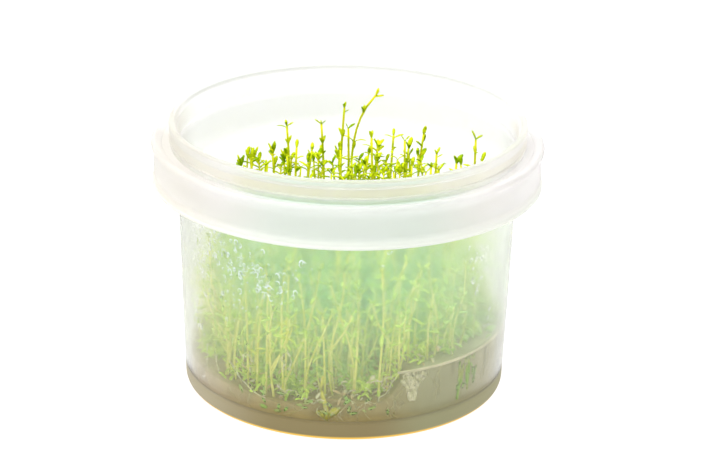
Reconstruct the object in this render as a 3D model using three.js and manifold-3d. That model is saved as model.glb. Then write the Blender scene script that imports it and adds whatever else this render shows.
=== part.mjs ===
// A tissue culture of Microcarpaea minima: fine upright shoots rooted in a plug
// of agar gel, in an open translucent tub. Millimetres, +Z up, and the origin is
// the middle of the tub's foot. The front of the tub faces -Y.
import * as THREE from 'three';
import { mergeVertices } from 'three/addons/utils/BufferGeometryUtils.js';
import Module from 'manifold-3d';

const wasm = await Module();
wasm.setup();

// Driving dimensions of the tub
const FACETS = 40;
const TUB_HEIGHT = 71;
const BASE_R = 41.4;
const CORNER_R = 2.5;
const WALL = 1;
const TAPER = 0.0355;
const FLOOR_TOP = 1.6;
const FOOT_RECESS = 0.6;
const FOOT_INNER_R = 36;
const SKIRT_R = 49.5;
const SKIRT_THICK = 1;
const SKIRT_BOTTOM = 55.7;
const WAIST_R = 49.2;
const WAIST_Z = 62.6;
const FLANGE_R = 50;
const FLANGE_Z = 65;
const FLANGE_THICK = 1.4;
const LIP_R = 45.5;
const LIP_TOP_WIDTH = 1.6;
const LEDGE_Z = 69.9;

// Driving dimensions of the gel
const GAP = 0.3;
const GEL_LOW = 10.6;
const GEL_HIGH = 18.4;
const STEP_X = 4.5;
const STEP_NORMAL = new THREE.Vector2(0.97, 0.2425);
const STEP_WIDTH = 10;
const DIP = { x: -18, y: -34, depth: 1.4, spread: 14 };
const SOCKET_DEPTH = 4;
const POCKET = { low: [-7.2, -41, 3.6], high: [-0.2, -35.8, 16] };

// Driving dimensions of the shoots
const STEM_R = 0.4;
const STEM_STEPS = 4;
const LEAF_LENGTH = 2.8;
const LEAF_WIDTH = 0.9;
const LEAF_THICK = 0.35;
const STEM_SIDES = 3;
const FILL_STEPS = 3;
const TWIG_WIDTH = 0.95;
const TWIG_THICK = 0.75;
const TWIG_START = 7.5;
const TWIG_STEP = 2.5;

// Driving dimensions of the carpet that the lower shoots form
const CARPET_R = 37.4;
const CARPET_SPOTS = 124;
const CARPET_TOP = 48;
const TALL_CLEAR = 4.2;
const POCKET_CLEAR = 6.3;
const TWIG_REACH = 8.8;
const TWIG_CLEAR = 2.2;

const radians = THREE.MathUtils.degToRad;

// Solids: a closed geometry becomes a manifold solid, and the other way round
function toSolid(geometry) {
  const bare = geometry.clone();
  bare.deleteAttribute('normal');
  bare.deleteAttribute('uv');
  const merged = mergeVertices(bare, 1e-4);
  const mesh = new wasm.Mesh({
    numProp: 3,
    vertProperties: new Float32Array(merged.attributes.position.array),
    triVerts: new Uint32Array(merged.index.array),
  });
  return new wasm.Manifold(mesh);
}

function toGeometry(solid) {
  const mesh = solid.getMesh();
  const geometry = new THREE.BufferGeometry();
  geometry.setAttribute('position', new THREE.Float32BufferAttribute(mesh.vertProperties, 3));
  geometry.setIndex(Array.from(mesh.triVerts));
  geometry.computeVertexNormals();
  return geometry;
}

function closedLathe(profile) {
  const points = profile.map(([r, z]) => new THREE.Vector2(r, z));
  const lathe = new THREE.LatheGeometry(points, FACETS);
  lathe.rotateX(Math.PI / 2);
  lathe.deleteAttribute('normal');
  lathe.deleteAttribute('uv');
  return mergeVertices(lathe, 1e-4);
}

// Points of a round corner, from one angle to another about a centre
function arc(centreR, centreZ, radius, from, to, steps) {
  const points = [];
  for (let i = 0; i <= steps; i += 1) {
    const angle = radians(from + ((to - from) * i) / steps);
    points.push([centreR + radius * Math.cos(angle), centreZ + radius * Math.sin(angle)]);
  }
  return points;
}

// Radius of the tub's outer wall, which widens steadily from its base
function outerWall(z) {
  return BASE_R + TAPER * (z - CORNER_R);
}

function innerWall(z) {
  return outerWall(z) - WALL;
}

// Tub: one moulding, with a foot ring, a tapered wall, a hollow skirt under a
// rounded flange, and a grooved lip above it that the lid snaps over
function footProfile() {
  return [
    [0, FOOT_RECESS],
    [FOOT_INNER_R - FOOT_RECESS, FOOT_RECESS],
    [FOOT_INNER_R, 0],
    ...arc(BASE_R - CORNER_R, CORNER_R, CORNER_R, -90, 0, 2),
  ];
}

function skirtProfile() {
  const flangeUnder = FLANGE_Z - FLANGE_THICK;
  const skirtInner = SKIRT_R - SKIRT_THICK;
  const edge = 0.2;
  return [
    [outerWall(flangeUnder), flangeUnder],
    [skirtInner - edge, flangeUnder],
    [skirtInner, SKIRT_BOTTOM + edge],
    [skirtInner + edge, SKIRT_BOTTOM],
    [SKIRT_R, SKIRT_BOTTOM],
    [SKIRT_R + edge, SKIRT_BOTTOM + 3 * edge],
    [WAIST_R + edge, SKIRT_BOTTOM + 5 * edge],
    [WAIST_R, WAIST_Z],
  ];
}

function flangeProfile() {
  const bead = 1;
  const channelDepth = 0.9;
  return [
    ...arc(FLANGE_R - bead, FLANGE_Z, bead, -30, 90, 3),
    [FLANGE_R - 2.3 * bead, FLANGE_Z + 0.7 * bead],
    [FLANGE_R - 2.8 * bead, FLANGE_Z + bead - channelDepth],
  ];
}

function lipProfile() {
  const groove = 0.35;
  const ringZ = FLANGE_Z + 1.35;
  const beadBottom = TUB_HEIGHT - 1.9;
  const round = 0.5;
  return [
    [LIP_R - groove, FLANGE_Z],
    [LIP_R - groove, ringZ - groove],
    [LIP_R, ringZ],
    [LIP_R - groove, ringZ + groove],
    [LIP_R - groove, beadBottom - groove],
    [LIP_R, beadBottom],
    ...arc(LIP_R - round, TUB_HEIGHT - round, round, 0, 90, 2),
    [LIP_R - LIP_TOP_WIDTH + round, TUB_HEIGHT],
    [LIP_R - LIP_TOP_WIDTH, TUB_HEIGHT - round],
    [LIP_R - LIP_TOP_WIDTH, LEDGE_Z],
    [LIP_R - LIP_TOP_WIDTH - round, LEDGE_Z - round],
  ];
}

function insideProfile() {
  const flangeUnder = FLANGE_Z - FLANGE_THICK;
  const cornerR = CORNER_R - WALL;
  const cornerZ = FLOOR_TOP + cornerR;
  return [
    [innerWall(flangeUnder) + 0.4, FLANGE_Z],
    [innerWall(flangeUnder), flangeUnder - WALL],
    ...arc(innerWall(cornerZ) - cornerR, cornerZ, cornerR, 0, -90, 2),
    [0, FLOOR_TOP],
  ];
}

function tubGeometry() {
  return closedLathe([
    ...footProfile(),
    ...skirtProfile(),
    ...flangeProfile(),
    ...lipProfile(),
    ...insideProfile(),
  ]);
}

// Height of the gel's top: high on the right, a torn step down to the left, and
// a dip at the front left
function gelTop(x, y) {
  const across = STEP_NORMAL.x * (x - STEP_X) + STEP_NORMAL.y * y;
  const rise = THREE.MathUtils.smoothstep(across, -STEP_WIDTH / 2, STEP_WIDTH / 2);
  const fromDip = Math.hypot(x - DIP.x, y - DIP.y) / DIP.spread;
  return GEL_LOW + (GEL_HIGH - GEL_LOW) * rise - DIP.depth * Math.exp(-fromDip * fromDip);
}

// Gel: a plug that fills the bottom of the tub, with its gap to the wall
function gelPlug() {
  const bottom = FLOOR_TOP + GAP;
  const cornerR = CORNER_R - WALL;
  const cornerZ = bottom + cornerR;
  const sideR = (z) => innerWall(z) - GAP;
  const topRings = [1, 0.68, 0.34, 0];
  const profile = [
    [0, bottom],
    ...arc(sideR(cornerZ) - cornerR, cornerZ, cornerR, -90, 0, 2),
    ...topRings.map((share) => [sideR(GEL_LOW) * share, GEL_LOW]),
  ];
  const plug = closedLathe(profile);
  const position = plug.attributes.position;
  for (let i = 0; i < position.count; i += 1) {
    const x = position.getX(i);
    const y = position.getY(i);
    if (position.getZ(i) > cornerZ + GAP) {
      const top = gelTop(x, y);
      const onEdge = Math.hypot(x, y) > sideR(GEL_LOW) - GAP;
      const stretch = onEdge ? sideR(top) / sideR(GEL_LOW) : 1;
      position.setXYZ(i, x * stretch, y * stretch, top);
    }
  }
  return plug;
}

// Tall shoots that stand up to the tub's mouth. Each has its foot, its tip, how
// far it bows sideways, and how wide its top leaves open in degrees. A high
// value of late keeps the lean for the last stretch below the tip.
const TALL_SHOOTS = [
  { foot: [-24, 1], tip: [-25, 0, 62], bow: [1.5, 0.5], open: 42 },
  { foot: [-22, 11], tip: [-21, 11, 56], bow: [-1, 0.5], open: 35 },
  { foot: [-18, 6], tip: [-19.5, 4, 62], bow: [0.5, 1], open: 16 },
  { foot: [-15, 14], tip: [-16, 12, 66], bow: [1, 0], open: 32 },
  { foot: [-13, 1], tip: [-13, 2, 64], bow: [-0.6, -0.5], open: 20 },
  { foot: [-11.5, 8], tip: [-9, 8, 61], bow: [-1, 0], open: 30 },
  { foot: [-6, 14], tip: [-7, 14, 65], bow: [0.8, 0], open: 30 },
  { foot: [-2, 21], tip: [-1, 20, 68], bow: [-0.6, 0.5], open: 12 },
  { foot: [0, 11], tip: [0, 10, 66], bow: [0.6, 0.4], open: 34 },
  { foot: [2, 28], tip: [8, 25, 69.8], bow: [-2, 0.6], open: 24, late: 7 },
  { foot: [6, 3], tip: [6, 5, 65], bow: [0.8, -0.8], open: 18 },
  { foot: [7, 15], tip: [8, 15, 60], bow: [-0.8, 0.4], open: 44 },
  { foot: [10, 22], tip: [12, 20, 61], bow: [0.6, 0.6], open: 22 },
  { foot: [14, 4], tip: [14.5, 4, 65], bow: [0.8, 0.6], open: 28 },
  { foot: [15, 13], tip: [16, 14, 60], bow: [-0.8, -0.6], open: 36 },
  { foot: [18, 21], tip: [20, 19, 62], bow: [-0.6, 0.8], open: 10 },
  { foot: [22, 10], tip: [23, 9, 60], bow: [0.5, 0.9], open: 34 },
  { foot: [21, -1], tip: [21.5, 0, 60], bow: [-0.6, -0.8], open: 46 },
  { foot: [28, 3], tip: [28, 3, 60], bow: [-0.8, 0.7], open: 30 },
  { foot: [32, 11], tip: [33, 9, 65], bow: [0.7, 0.5], open: 27 },
  { foot: [34, 2], tip: [34.5, 2, 61], bow: [-0.7, -0.8], open: 14 },
];

// A repeatable scatter value between 0 and 1 for one shoot and one use of it
function scatter(index, use) {
  const wave = Math.sin(index * 12.9898 + use * 78.233) * 43758.5453;
  return wave - Math.floor(wave);
}

// Distance from a point to the straight line between two others, seen from above
function offLine(point, from, to) {
  const along = [to[0] - from[0], to[1] - from[1]];
  const reached = (point[0] - from[0]) * along[0] + (point[1] - from[1]) * along[1];
  const share = THREE.MathUtils.clamp(reached / (along[0] ** 2 + along[1] ** 2), 0, 1);
  return Math.hypot(from[0] + share * along[0] - point[0], from[1] + share * along[1] - point[1]);
}

function apart(a, b) {
  return Math.hypot(a[0] - b[0], a[1] - b[1]);
}

// Spots of the carpet: a sunflower spiral over the gel, which skips the tall
// shoots. Over the pocket of the sunken shoot only twigs can end, and none root.
function carpetSpots() {
  const goldenAngle = radians(137.508);
  const pocketMiddle = [(POCKET.low[0] + POCKET.high[0]) / 2, -38];
  const spots = [];
  for (let i = 0; i < CARPET_SPOTS; i += 1) {
    const angle = i * goldenAngle + (scatter(i, 1) - 0.5) / (3 + Math.sqrt(i));
    const radius = CARPET_R * Math.sqrt((i + 0.5) / CARPET_SPOTS);
    const at = [radius * Math.cos(angle), radius * Math.sin(angle)];
    if (TALL_SHOOTS.every((tall) => apart(tall.foot, at) > TALL_CLEAR)) {
      spots.push({ at, angle, seed: i, rooted: apart(pocketMiddle, at) > POCKET_CLEAR });
    }
  }
  return spots;
}

// Height of a tip in the carpet, which gets lower towards the back
function carpetTip(spot, use) {
  return Math.min(CARPET_TOP, CARPET_TOP + 2 - 0.4 * spot.at[1]) - 14 * scatter(spot.seed, use);
}

// Lower shoots: each stands on a free spot, and two side twigs reach from its
// stem to the nearest spots that are still free
function fillShoots() {
  const spots = carpetSpots();
  const shoots = [];
  while (spots.some((spot) => spot.rooted)) {
    const first = spots.findIndex((spot) => spot.rooted);
    const [{ at: foot, angle, seed }] = spots.splice(first, 1);
    const twigs = [];
    for (let n = 0; n < 2; n += 1) {
      const near = spots
        .filter((spot) => apart(spot.at, foot) < TWIG_REACH)
        .filter((spot) => TALL_SHOOTS.every((tall) => offLine(tall.foot, foot, spot.at) > TWIG_CLEAR))
        .sort((a, b) => apart(a.at, foot) - apart(b.at, foot));
      if (near.length > 0) {
        spots.splice(spots.indexOf(near[0]), 1);
        const climb = TWIG_START + TWIG_STEP * n;
        twigs.push({ climb, tip: [...near[0].at, carpetTip(near[0], 3)] });
      }
    }
    const lean = 1.1 * (scatter(seed, 2) - 0.5);
    shoots.push({
      foot,
      tip: [
        foot[0] + lean * 2 * Math.cos(5 * angle),
        foot[1] + lean * 2 * Math.sin(5 * angle),
        carpetTip({ at: foot, seed }, 3),
      ],
      bow: [1.4 * (scatter(seed, 4) - 0.5), 1.4 * (scatter(seed, 5) - 0.5)],
      open: 20 + 28 * scatter(seed, 6),
      turn: THREE.MathUtils.radToDeg(angle) + 90,
      twigs,
    });
  }
  return shoots;
}

// Centre line of a stem: upright at its foot, and it leans and bows on its way up
function stemPoint({ foot, tip, bow, late = 2 }, share) {
  const bottom = gelTop(foot[0], foot[1]) - SOCKET_DEPTH;
  const lean = share ** late;
  const swing = Math.sin(Math.PI * share) * share;
  return new THREE.Vector3(
    foot[0] + (tip[0] - foot[0]) * lean + bow[0] * swing,
    foot[1] + (tip[1] - foot[1]) * lean + bow[1] * swing,
    bottom + (tip[2] - bottom) * share,
  );
}

function polygon(radius, sides) {
  const shape = new THREE.Shape();
  for (let i = 0; i < sides; i += 1) {
    const angle = (2 * Math.PI * i) / sides;
    const corner = [radius * Math.cos(angle), radius * Math.sin(angle)];
    if (i === 0) {
      shape.moveTo(...corner);
    } else {
      shape.lineTo(...corner);
    }
  }
  shape.closePath();
  return shape;
}

// Straight or bent bar of a few flat sides, from the centre line's own points
function bar(points, radius, sides) {
  const path = new THREE.CurvePath();
  for (let i = 1; i < points.length; i += 1) {
    path.add(new THREE.LineCurve3(points[i - 1], points[i]));
  }
  const steps = points.length - 1;
  return toSolid(new THREE.ExtrudeGeometry(polygon(radius, sides), {
    steps,
    bevelEnabled: false,
    extrudePath: path,
  }));
}

// Leaf: a slim flat blade with a ridge along it, its base inside the stem. A
// side twig is the same shape, but long and as thick as a stem.
function leaf(base, direction, length, width = LEAF_WIDTH, thick = LEAF_THICK) {
  const blade = new THREE.OctahedronGeometry(1);
  blade.scale(width / 2, thick / 2, length / 2);
  blade.translate(0, 0, length / 2);
  const across = new THREE.Vector3(-direction.y, direction.x, 0).normalize();
  const face = new THREE.Vector3().crossVectors(direction, across);
  blade.applyMatrix4(new THREE.Matrix4().makeBasis(across, face, direction));
  blade.translate(base.x, base.y, base.z);
  return toSolid(blade);
}

// Two leaves face each other at a joint of the stem
function leafPair(base, turn, open, length) {
  let pair = null;
  for (const side of [0, 180]) {
    const around = radians(turn + side);
    const slope = radians(open);
    const direction = new THREE.Vector3(
      Math.sin(slope) * Math.cos(around),
      Math.sin(slope) * Math.sin(around),
      Math.cos(slope),
    );
    const one = leaf(base, direction, length);
    pair = pair ? pair.add(one) : one;
  }
  return pair;
}

function twig(shoot, { climb, tip }) {
  const height = shoot.tip[2] - stemPoint(shoot, 0).z;
  const base = stemPoint(shoot, climb / height);
  const reach = new THREE.Vector3(...tip).sub(base);
  const length = reach.length();
  return leaf(base, reach.normalize(), length, TWIG_WIDTH, TWIG_THICK);
}

// Tall shoot: a stem with a pair of leaves at its tip and one at the joint below
function tallShoot(shoot, index) {
  const points = [];
  const topShare = 1 - (0.8 * LEAF_LENGTH) / shoot.tip[2];
  for (let i = 0; i <= STEM_STEPS; i += 1) {
    points.push(stemPoint(shoot, (topShare * i) / STEM_STEPS));
  }
  const end = points[STEM_STEPS];
  const joint = end.clone().lerp(points[STEM_STEPS - 1], 0.36);
  const top = end.clone().lerp(joint, 0.05);
  const turn = 180 * scatter(index, 7);
  const spread = 1.35;
  return toGeometry(
    bar(points, STEM_R, STEM_SIDES)
      .add(leafPair(top, turn, shoot.open, LEAF_LENGTH))
      .add(leafPair(joint, turn + 90, shoot.open * spread, LEAF_LENGTH)),
  );
}

// Lower shoot: a stem with one pair of leaves and its side twigs
function lowShoot(shoot) {
  const points = [];
  const topShare = 1 - (0.8 * LEAF_LENGTH) / shoot.tip[2];
  for (let i = 0; i <= FILL_STEPS; i += 1) {
    points.push(stemPoint(shoot, (topShare * i) / FILL_STEPS));
  }
  const top = points[FILL_STEPS].clone().lerp(points[FILL_STEPS - 1], 0.02);
  let solid = bar(points, STEM_R, STEM_SIDES).add(leafPair(top, shoot.turn, shoot.open, LEAF_LENGTH));
  for (const side of shoot.twigs) {
    solid = solid.add(twig(shoot, side));
  }
  return toGeometry(solid);
}

// Socket that a stem's foot stands in: its flats clear the stem's corners by the
// gap, however the two are turned
function socket(shoot) {
  const low = stemPoint(shoot, 0);
  const high = stemPoint(shoot, 1 / (shoot.twigs ? FILL_STEPS : STEM_STEPS));
  const up = high.clone().sub(low).normalize();
  const start = low.clone().addScaledVector(up, -GAP);
  const end = low.clone().addScaledVector(up, 2 * SOCKET_DEPTH);
  return bar([start, end], (STEM_R + GAP) / Math.cos(Math.PI / STEM_SIDES), STEM_SIDES);
}

// Short shoot that sank against the front wall, with one broad pair of leaves,
// and the open pocket that it leaves in the side of the gel
function sunkenShoot() {
  const foot = new THREE.Vector3(-4.2, -38, 4.2);
  const top = new THREE.Vector3(-5.4, -37.6, 16.5);
  const right = new THREE.Vector3(0.55, 0.08, 0.83);
  const left = new THREE.Vector3(-0.42, 0.05, 0.9);
  const base = foot.clone().lerp(top, 0.08);
  return toGeometry(
    bar([foot, top], STEM_R, STEM_SIDES)
      .add(leaf(base, right.normalize(), 5.4))
      .add(leaf(base, left.normalize(), 3.9)),
  );
}

function pocket() {
  const low = new THREE.Vector3(...POCKET.low);
  const high = new THREE.Vector3(...POCKET.high);
  const size = high.clone().sub(low);
  const box = new THREE.BoxGeometry(size.x, size.y, size.z);
  box.translate(low.x + size.x / 2, low.y + size.y / 2, low.z + size.z / 2);
  return toSolid(box);
}

function finish(name, color, roughness, geometry, more = {}) {
  const material = new THREE.MeshStandardMaterial({ color, roughness, metalness: 0, ...more });
  const mesh = new THREE.Mesh(geometry, material);
  mesh.name = name;
  return mesh;
}

const culture = new THREE.Group();
const shoots = [...TALL_SHOOTS, ...fillShoots()];

culture.add(finish('tub', 0xeef4f0, 0.35, tubGeometry(), { transparent: true, opacity: 0.5 }));

let gel = toSolid(gelPlug()).subtract(pocket());
for (const shoot of shoots) {
  gel = gel.subtract(socket(shoot));
}
culture.add(finish('agar_gel', 0x9c9470, 0.3, toGeometry(gel)));

culture.add(finish('sunken_shoot', 0xa9b83a, 0.5, sunkenShoot()));

shoots.forEach((shoot, index) => {
  const name = `shoot_${String(index + 1).padStart(2, '0')}`;
  const geometry = shoot.twigs ? lowShoot(shoot) : tallShoot(shoot, index);
  culture.add(finish(name, 0x9cc417, 0.5, geometry));
});

export default culture;
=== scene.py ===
# %% [markdown]
# A tissue culture of Microcarpaea minima in its open tub
#
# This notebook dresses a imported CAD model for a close-up render. The subject is a
# lab-grown carpet of very fine green shoots. They are rooted in a plug of agar gel
# at the bottom of a frosted plastic tub, and the lid is off.
# The CAD model fixes the places and sizes. The tub, the gel and the main shoots are
# finer meshes that take the place of their CAD solids. Small plants, dead bits and
# drops are added between them, inside the CAD model's box.

# %% Load the frame
import bpy
import bmesh
import math
import random
from mathutils import Matrix, Vector, noise


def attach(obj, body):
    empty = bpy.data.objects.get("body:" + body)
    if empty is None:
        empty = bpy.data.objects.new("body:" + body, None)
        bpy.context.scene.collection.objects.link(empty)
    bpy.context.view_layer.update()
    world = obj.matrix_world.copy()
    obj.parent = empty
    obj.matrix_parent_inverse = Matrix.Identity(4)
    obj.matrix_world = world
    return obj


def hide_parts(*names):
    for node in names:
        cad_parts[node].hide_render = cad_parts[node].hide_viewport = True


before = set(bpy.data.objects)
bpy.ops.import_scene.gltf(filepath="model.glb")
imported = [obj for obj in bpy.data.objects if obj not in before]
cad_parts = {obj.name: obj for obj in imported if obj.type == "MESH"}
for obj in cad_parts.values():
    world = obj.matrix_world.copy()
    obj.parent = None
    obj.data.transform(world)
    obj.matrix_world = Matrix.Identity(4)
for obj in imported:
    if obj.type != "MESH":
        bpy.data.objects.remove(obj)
bpy.context.view_layer.update()
MM = 0.001

# %% [markdown]
# Random numbers
#
# Each kind of piece draws its random numbers from a seed of its own, so that one
# kind can change while the others stay as they are.

# %% Seeds
SEEDS = {"carpet": 7, "side shoots": 41, "low leaves": 53, "roots": 61, "dead leaves": 67, "skin": 71,
         "droplets": 83, "main shoot": 100, "plantlet": 500, "rosette": 700, "drop rim": 900}
ANY_ANGLE = 6.28  # upper end of a random angle, in radians
GOLDEN_ANGLE = math.radians(137.508)


def dice(kind, number=0):
    """A source of random numbers for one piece."""
    return random.Random(SEEDS[kind] + number)


def stray(draw, reach):
    """Two random shifts, each of them up to reach one way or the other."""
    return draw.uniform(-reach, reach), draw.uniform(-reach, reach)


def sunflower(index, count, reach, shift, shrink=1):
    """Place and angle of one of count spots that fill a disc evenly, turned by a small shift."""
    angle = index * GOLDEN_ANGLE + shift
    radius = reach * math.sqrt((index + 0.5) / count) * shrink
    return radius * math.cos(angle), radius * math.sin(angle), angle


# %% [markdown]
# Helpers for meshes
#
# Every new piece starts as a bmesh and ends as an object at the origin, with its
# place in its mesh. The normals are worked out again before it becomes an object,
# because spinning and extruding can leave faces inside out. Pieces that repeat are
# joined copies of a few template meshes.


# %% Mesh helpers
def to_mesh(name, bm):
    """Turns a finished bmesh into a smooth mesh."""
    mesh = bpy.data.meshes.new(name)
    bm.to_mesh(mesh)
    bm.free()
    mesh.shade_smooth()
    return mesh


def to_object(name, bm, materials):
    """Turns a finished bmesh into a shown piece of the object."""
    bmesh.ops.recalc_face_normals(bm, faces=bm.faces[:])
    mesh = to_mesh(name, bm)
    for material in materials:
        mesh.materials.append(material)
    piece = bpy.data.objects.new(name, mesh)
    bpy.context.scene.collection.objects.link(piece)
    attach(piece, "root")
    return piece


def lay(bm, template, place, material_index=None):
    """Joins a moved copy of a template mesh to a bmesh, with another material where one is given."""
    copy = template.copy()
    copy.transform(place)
    if material_index is not None:
        for polygon in copy.polygons:
            polygon.material_index = material_index
    bm.from_mesh(copy)
    bpy.data.meshes.remove(copy)


def triangles(mesh):
    return sum(len(polygon.vertices) - 2 for polygon in mesh.polygons)


def arc(centre_r, centre_z, radius, start, stop, steps):
    """Points of a round corner in the (radius, height) plane, angles in degrees."""
    points = []
    for i in range(steps + 1):
        angle = math.radians(start + (stop - start) * i / steps)
        points.append((centre_r + radius * math.cos(angle), centre_z + radius * math.sin(angle)))
    return points


def spin_profile(profile, steps):
    """Turns an outline of (radius, height) points in millimetres round the Z axis."""
    bm = bmesh.new()
    verts = [bm.verts.new((r * MM, 0, z * MM)) for r, z in profile]
    edges = [bm.edges.new(pair) for pair in zip(verts, verts[1:])]
    bmesh.ops.spin(bm, geom=verts + edges, cent=(0, 0, 0), axis=(0, 0, 1),
                   angle=2 * math.pi, steps=steps, use_merge=True)
    bmesh.ops.remove_doubles(bm, verts=bm.verts[:], dist=1e-7)
    bmesh.ops.recalc_face_normals(bm, faces=bm.faces[:])
    return bm


# %% [markdown]
# Shader maths as plain expressions
#
# Node trees are hard to read when they are built link by link. This small class
# wraps a socket, so that `1 - mask * 0.5` adds the Math nodes by itself. Colours go
# through Mix nodes, since a Math node would turn them grey.


# %% Socket wrapper
class Wire:
    """A socket of a node tree that can be used in arithmetic."""

    def __init__(self, tree, socket):
        self.tree, self.socket = tree, socket

    def math(self, operation, other=0.0, clamp=False):
        return self.tree.math(operation, self, other, clamp)

    def __add__(self, other):
        return self.math("ADD", other)

    def __mul__(self, other):
        return self.math("MULTIPLY", other)

    def __sub__(self, other):
        return self.math("SUBTRACT", other)

    def __rsub__(self, other):
        return self.tree.math("SUBTRACT", other, self)

    __radd__, __rmul__ = __add__, __mul__

    def clamped(self):
        return self.math("ADD", clamp=True)

    def ramp(self, low, high, to_low=0.0, to_high=1.0):
        """Goes smoothly from one value to another while this one goes from low to high."""
        return self.tree.node("ShaderNodeMapRange", {"interpolation_type": "SMOOTHSTEP"},
                              {"Value": self, "From Min": low, "From Max": high,
                               "To Min": to_low, "To Max": to_high})


class Shader:
    """A material's node tree, with one method that adds any node."""

    def __init__(self, name):
        self.material = bpy.data.materials.new(name)
        self.material.use_nodes = True
        self.nodes = self.material.node_tree.nodes
        self.links = self.material.node_tree.links
        self.nodes.clear()
        self.output = self.nodes.new("ShaderNodeOutputMaterial")

    def node(self, kind, settings=None, sockets=None, out=0):
        made = self.nodes.new(kind)
        for key, value in (settings or {}).items():
            setattr(made, key, value)
        for key, value in (sockets or {}).items():
            if isinstance(value, Wire):
                self.links.new(value.socket, made.inputs[key])
            else:
                made.inputs[key].default_value = value
        return Wire(self, made.outputs[out])

    def math(self, operation, first, second, clamp=False):
        return self.node("ShaderNodeMath", {"operation": operation, "use_clamp": clamp},
                         {0: first, 1: second})

    def place(self):
        """The point's own place in the object, whole and as X, Y and Z, in metres."""
        where = self.node("ShaderNodeTexCoord", out="Object")
        split = self.node("ShaderNodeSeparateXYZ", {}, {"Vector": where})
        return where, *(Wire(self, split.socket.node.outputs[axis]) for axis in "XYZ")

    def noise(self, where, scale, detail=2.0):
        return self.node("ShaderNodeTexNoise", {}, {"Vector": where, "Scale": scale, "Detail": detail})

    def mix(self, factor, a, b):
        """Colour a where the factor is 0 and colour b where it is 1."""
        return self.node("ShaderNodeMix", {"data_type": "RGBA"}, {0: factor, 6: a, 7: b}, out=2)

    def layers(self, color, *layers):
        """A colour with others laid over it, each where its own mask is 1."""
        for mask, over in layers:
            color = self.mix(mask, color, over)
        return color

    def blend(self, factor, a, b):
        """Surface a where the factor is 0 and surface b where it is 1."""
        return self.node("ShaderNodeMixShader", {}, {0: factor, 1: a, 2: b})

    def bump(self, height, distance, strength=1.0):
        return self.node("ShaderNodeBump", {},
                         {"Height": height, "Distance": distance, "Strength": strength})

    def principled(self, **sockets):
        named = {key.replace("_", " ").title().replace("Ior", "IOR"): value
                 for key, value in sockets.items()}
        return self.node("ShaderNodeBsdfPrincipled", {}, named)

    def finish(self, surface):
        self.links.new(surface.socket, self.output.inputs["Surface"])
        return self.material


def rgb(r, g, b):
    return (r, g, b, 1.0)


def from_axis(x, y):
    """Distance from the tub's middle line."""
    return (x * x + y * y).math("SQRT")


BLACK, WHITE = rgb(0, 0, 0), rgb(1, 1, 1)

# %% [markdown]
# The tub
#
# The real tub is one injection moulding in natural polypropylene: a foot ring, a
# tapered wall about 1 mm thick, a flange with a hollow skirt that stiffens the
# mouth, and a grooved lip that the lid snaps over. A round moulding is a turned
# shape, so one outline spun round the axis gives the whole of it. The outline is
# the CAD one with finer corners.

# %% Tub dimensions, in millimetres
TUB_HEIGHT = 71
BASE_R = 41.4
CORNER_R = 2.5
WALL = 1
TAPER = 0.0355
FLOOR_TOP = 1.6
FOOT_RECESS = 0.6
FOOT_INNER_R = 36
SKIRT_R = 49.5
SKIRT_THICK = 1
SKIRT_BOTTOM = 54.9  # 0.8 below the CAD solid's, as the photo has it
WAIST_R = 49.2
WAIST_Z = 62.6
FLANGE_R = 49.98
FLANGE_Z = 65
FLANGE_UNDER = 63.6
LIP_R = 45.5
LIP_TOP_WIDTH = 1.6
LEDGE_Z = 69.9
GAP = 0.3


def outer_wall(z):
    return BASE_R + TAPER * (z - CORNER_R)


def inner_wall(z):
    return outer_wall(z) - WALL


# %% Tub outline
def foot_outline():
    return [(0, FOOT_RECESS), (FOOT_INNER_R - FOOT_RECESS, FOOT_RECESS), (FOOT_INNER_R, 0),
            *arc(BASE_R - CORNER_R, CORNER_R, CORNER_R, -90, 0, 8)]


def skirt_outline():
    inner, edge, corner = SKIRT_R - SKIRT_THICK, 0.2, 0.8
    return [*arc(outer_wall(FLANGE_UNDER) + corner, FLANGE_UNDER - corner, corner, 180, 90, 3),
            *arc(inner - edge - corner, FLANGE_UNDER - corner, corner, 90, 0, 3),
            (inner, SKIRT_BOTTOM + edge), (inner + edge, SKIRT_BOTTOM), (SKIRT_R, SKIRT_BOTTOM),
            (SKIRT_R + edge, SKIRT_BOTTOM + edge), (SKIRT_R + edge, SKIRT_BOTTOM + 3 * edge),
            (WAIST_R + 1.4 * edge, SKIRT_BOTTOM + 4.2 * edge), (WAIST_R + edge, SKIRT_BOTTOM + 5 * edge),
            (WAIST_R, WAIST_Z)]


def flange_outline():
    bead, channel = 1.0, 0.9
    return [*arc(FLANGE_R - bead, FLANGE_Z, bead, -30, 90, 10),
            (FLANGE_R - 2.3 * bead, FLANGE_Z + 0.7 * bead),
            (FLANGE_R - 2.6 * bead, FLANGE_Z + 0.4 * bead),
            (FLANGE_R - 2.8 * bead, FLANGE_Z + bead - channel)]


def lip_outline():
    groove, ring_z, bead_bottom, curve = 0.35, FLANGE_Z + 1.35, TUB_HEIGHT - 1.9, 0.5
    inner = LIP_R - LIP_TOP_WIDTH
    return [(LIP_R - groove, FLANGE_Z), (LIP_R - groove, ring_z - groove),
            *arc(LIP_R - groove, ring_z, groove, -60, 60, 4),
            (LIP_R - groove, ring_z + groove), (LIP_R - groove, bead_bottom - groove),
            (LIP_R - 0.1, bead_bottom - 0.08), (LIP_R, bead_bottom + 0.1),
            *arc(LIP_R - curve, TUB_HEIGHT - curve, curve, 0, 90, 5),
            *arc(inner + curve, TUB_HEIGHT - curve, curve, 90, 180, 5),
            (inner, LEDGE_Z), (inner - 0.15, LEDGE_Z - 0.3), (inner - curve, LEDGE_Z - curve)]


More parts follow.
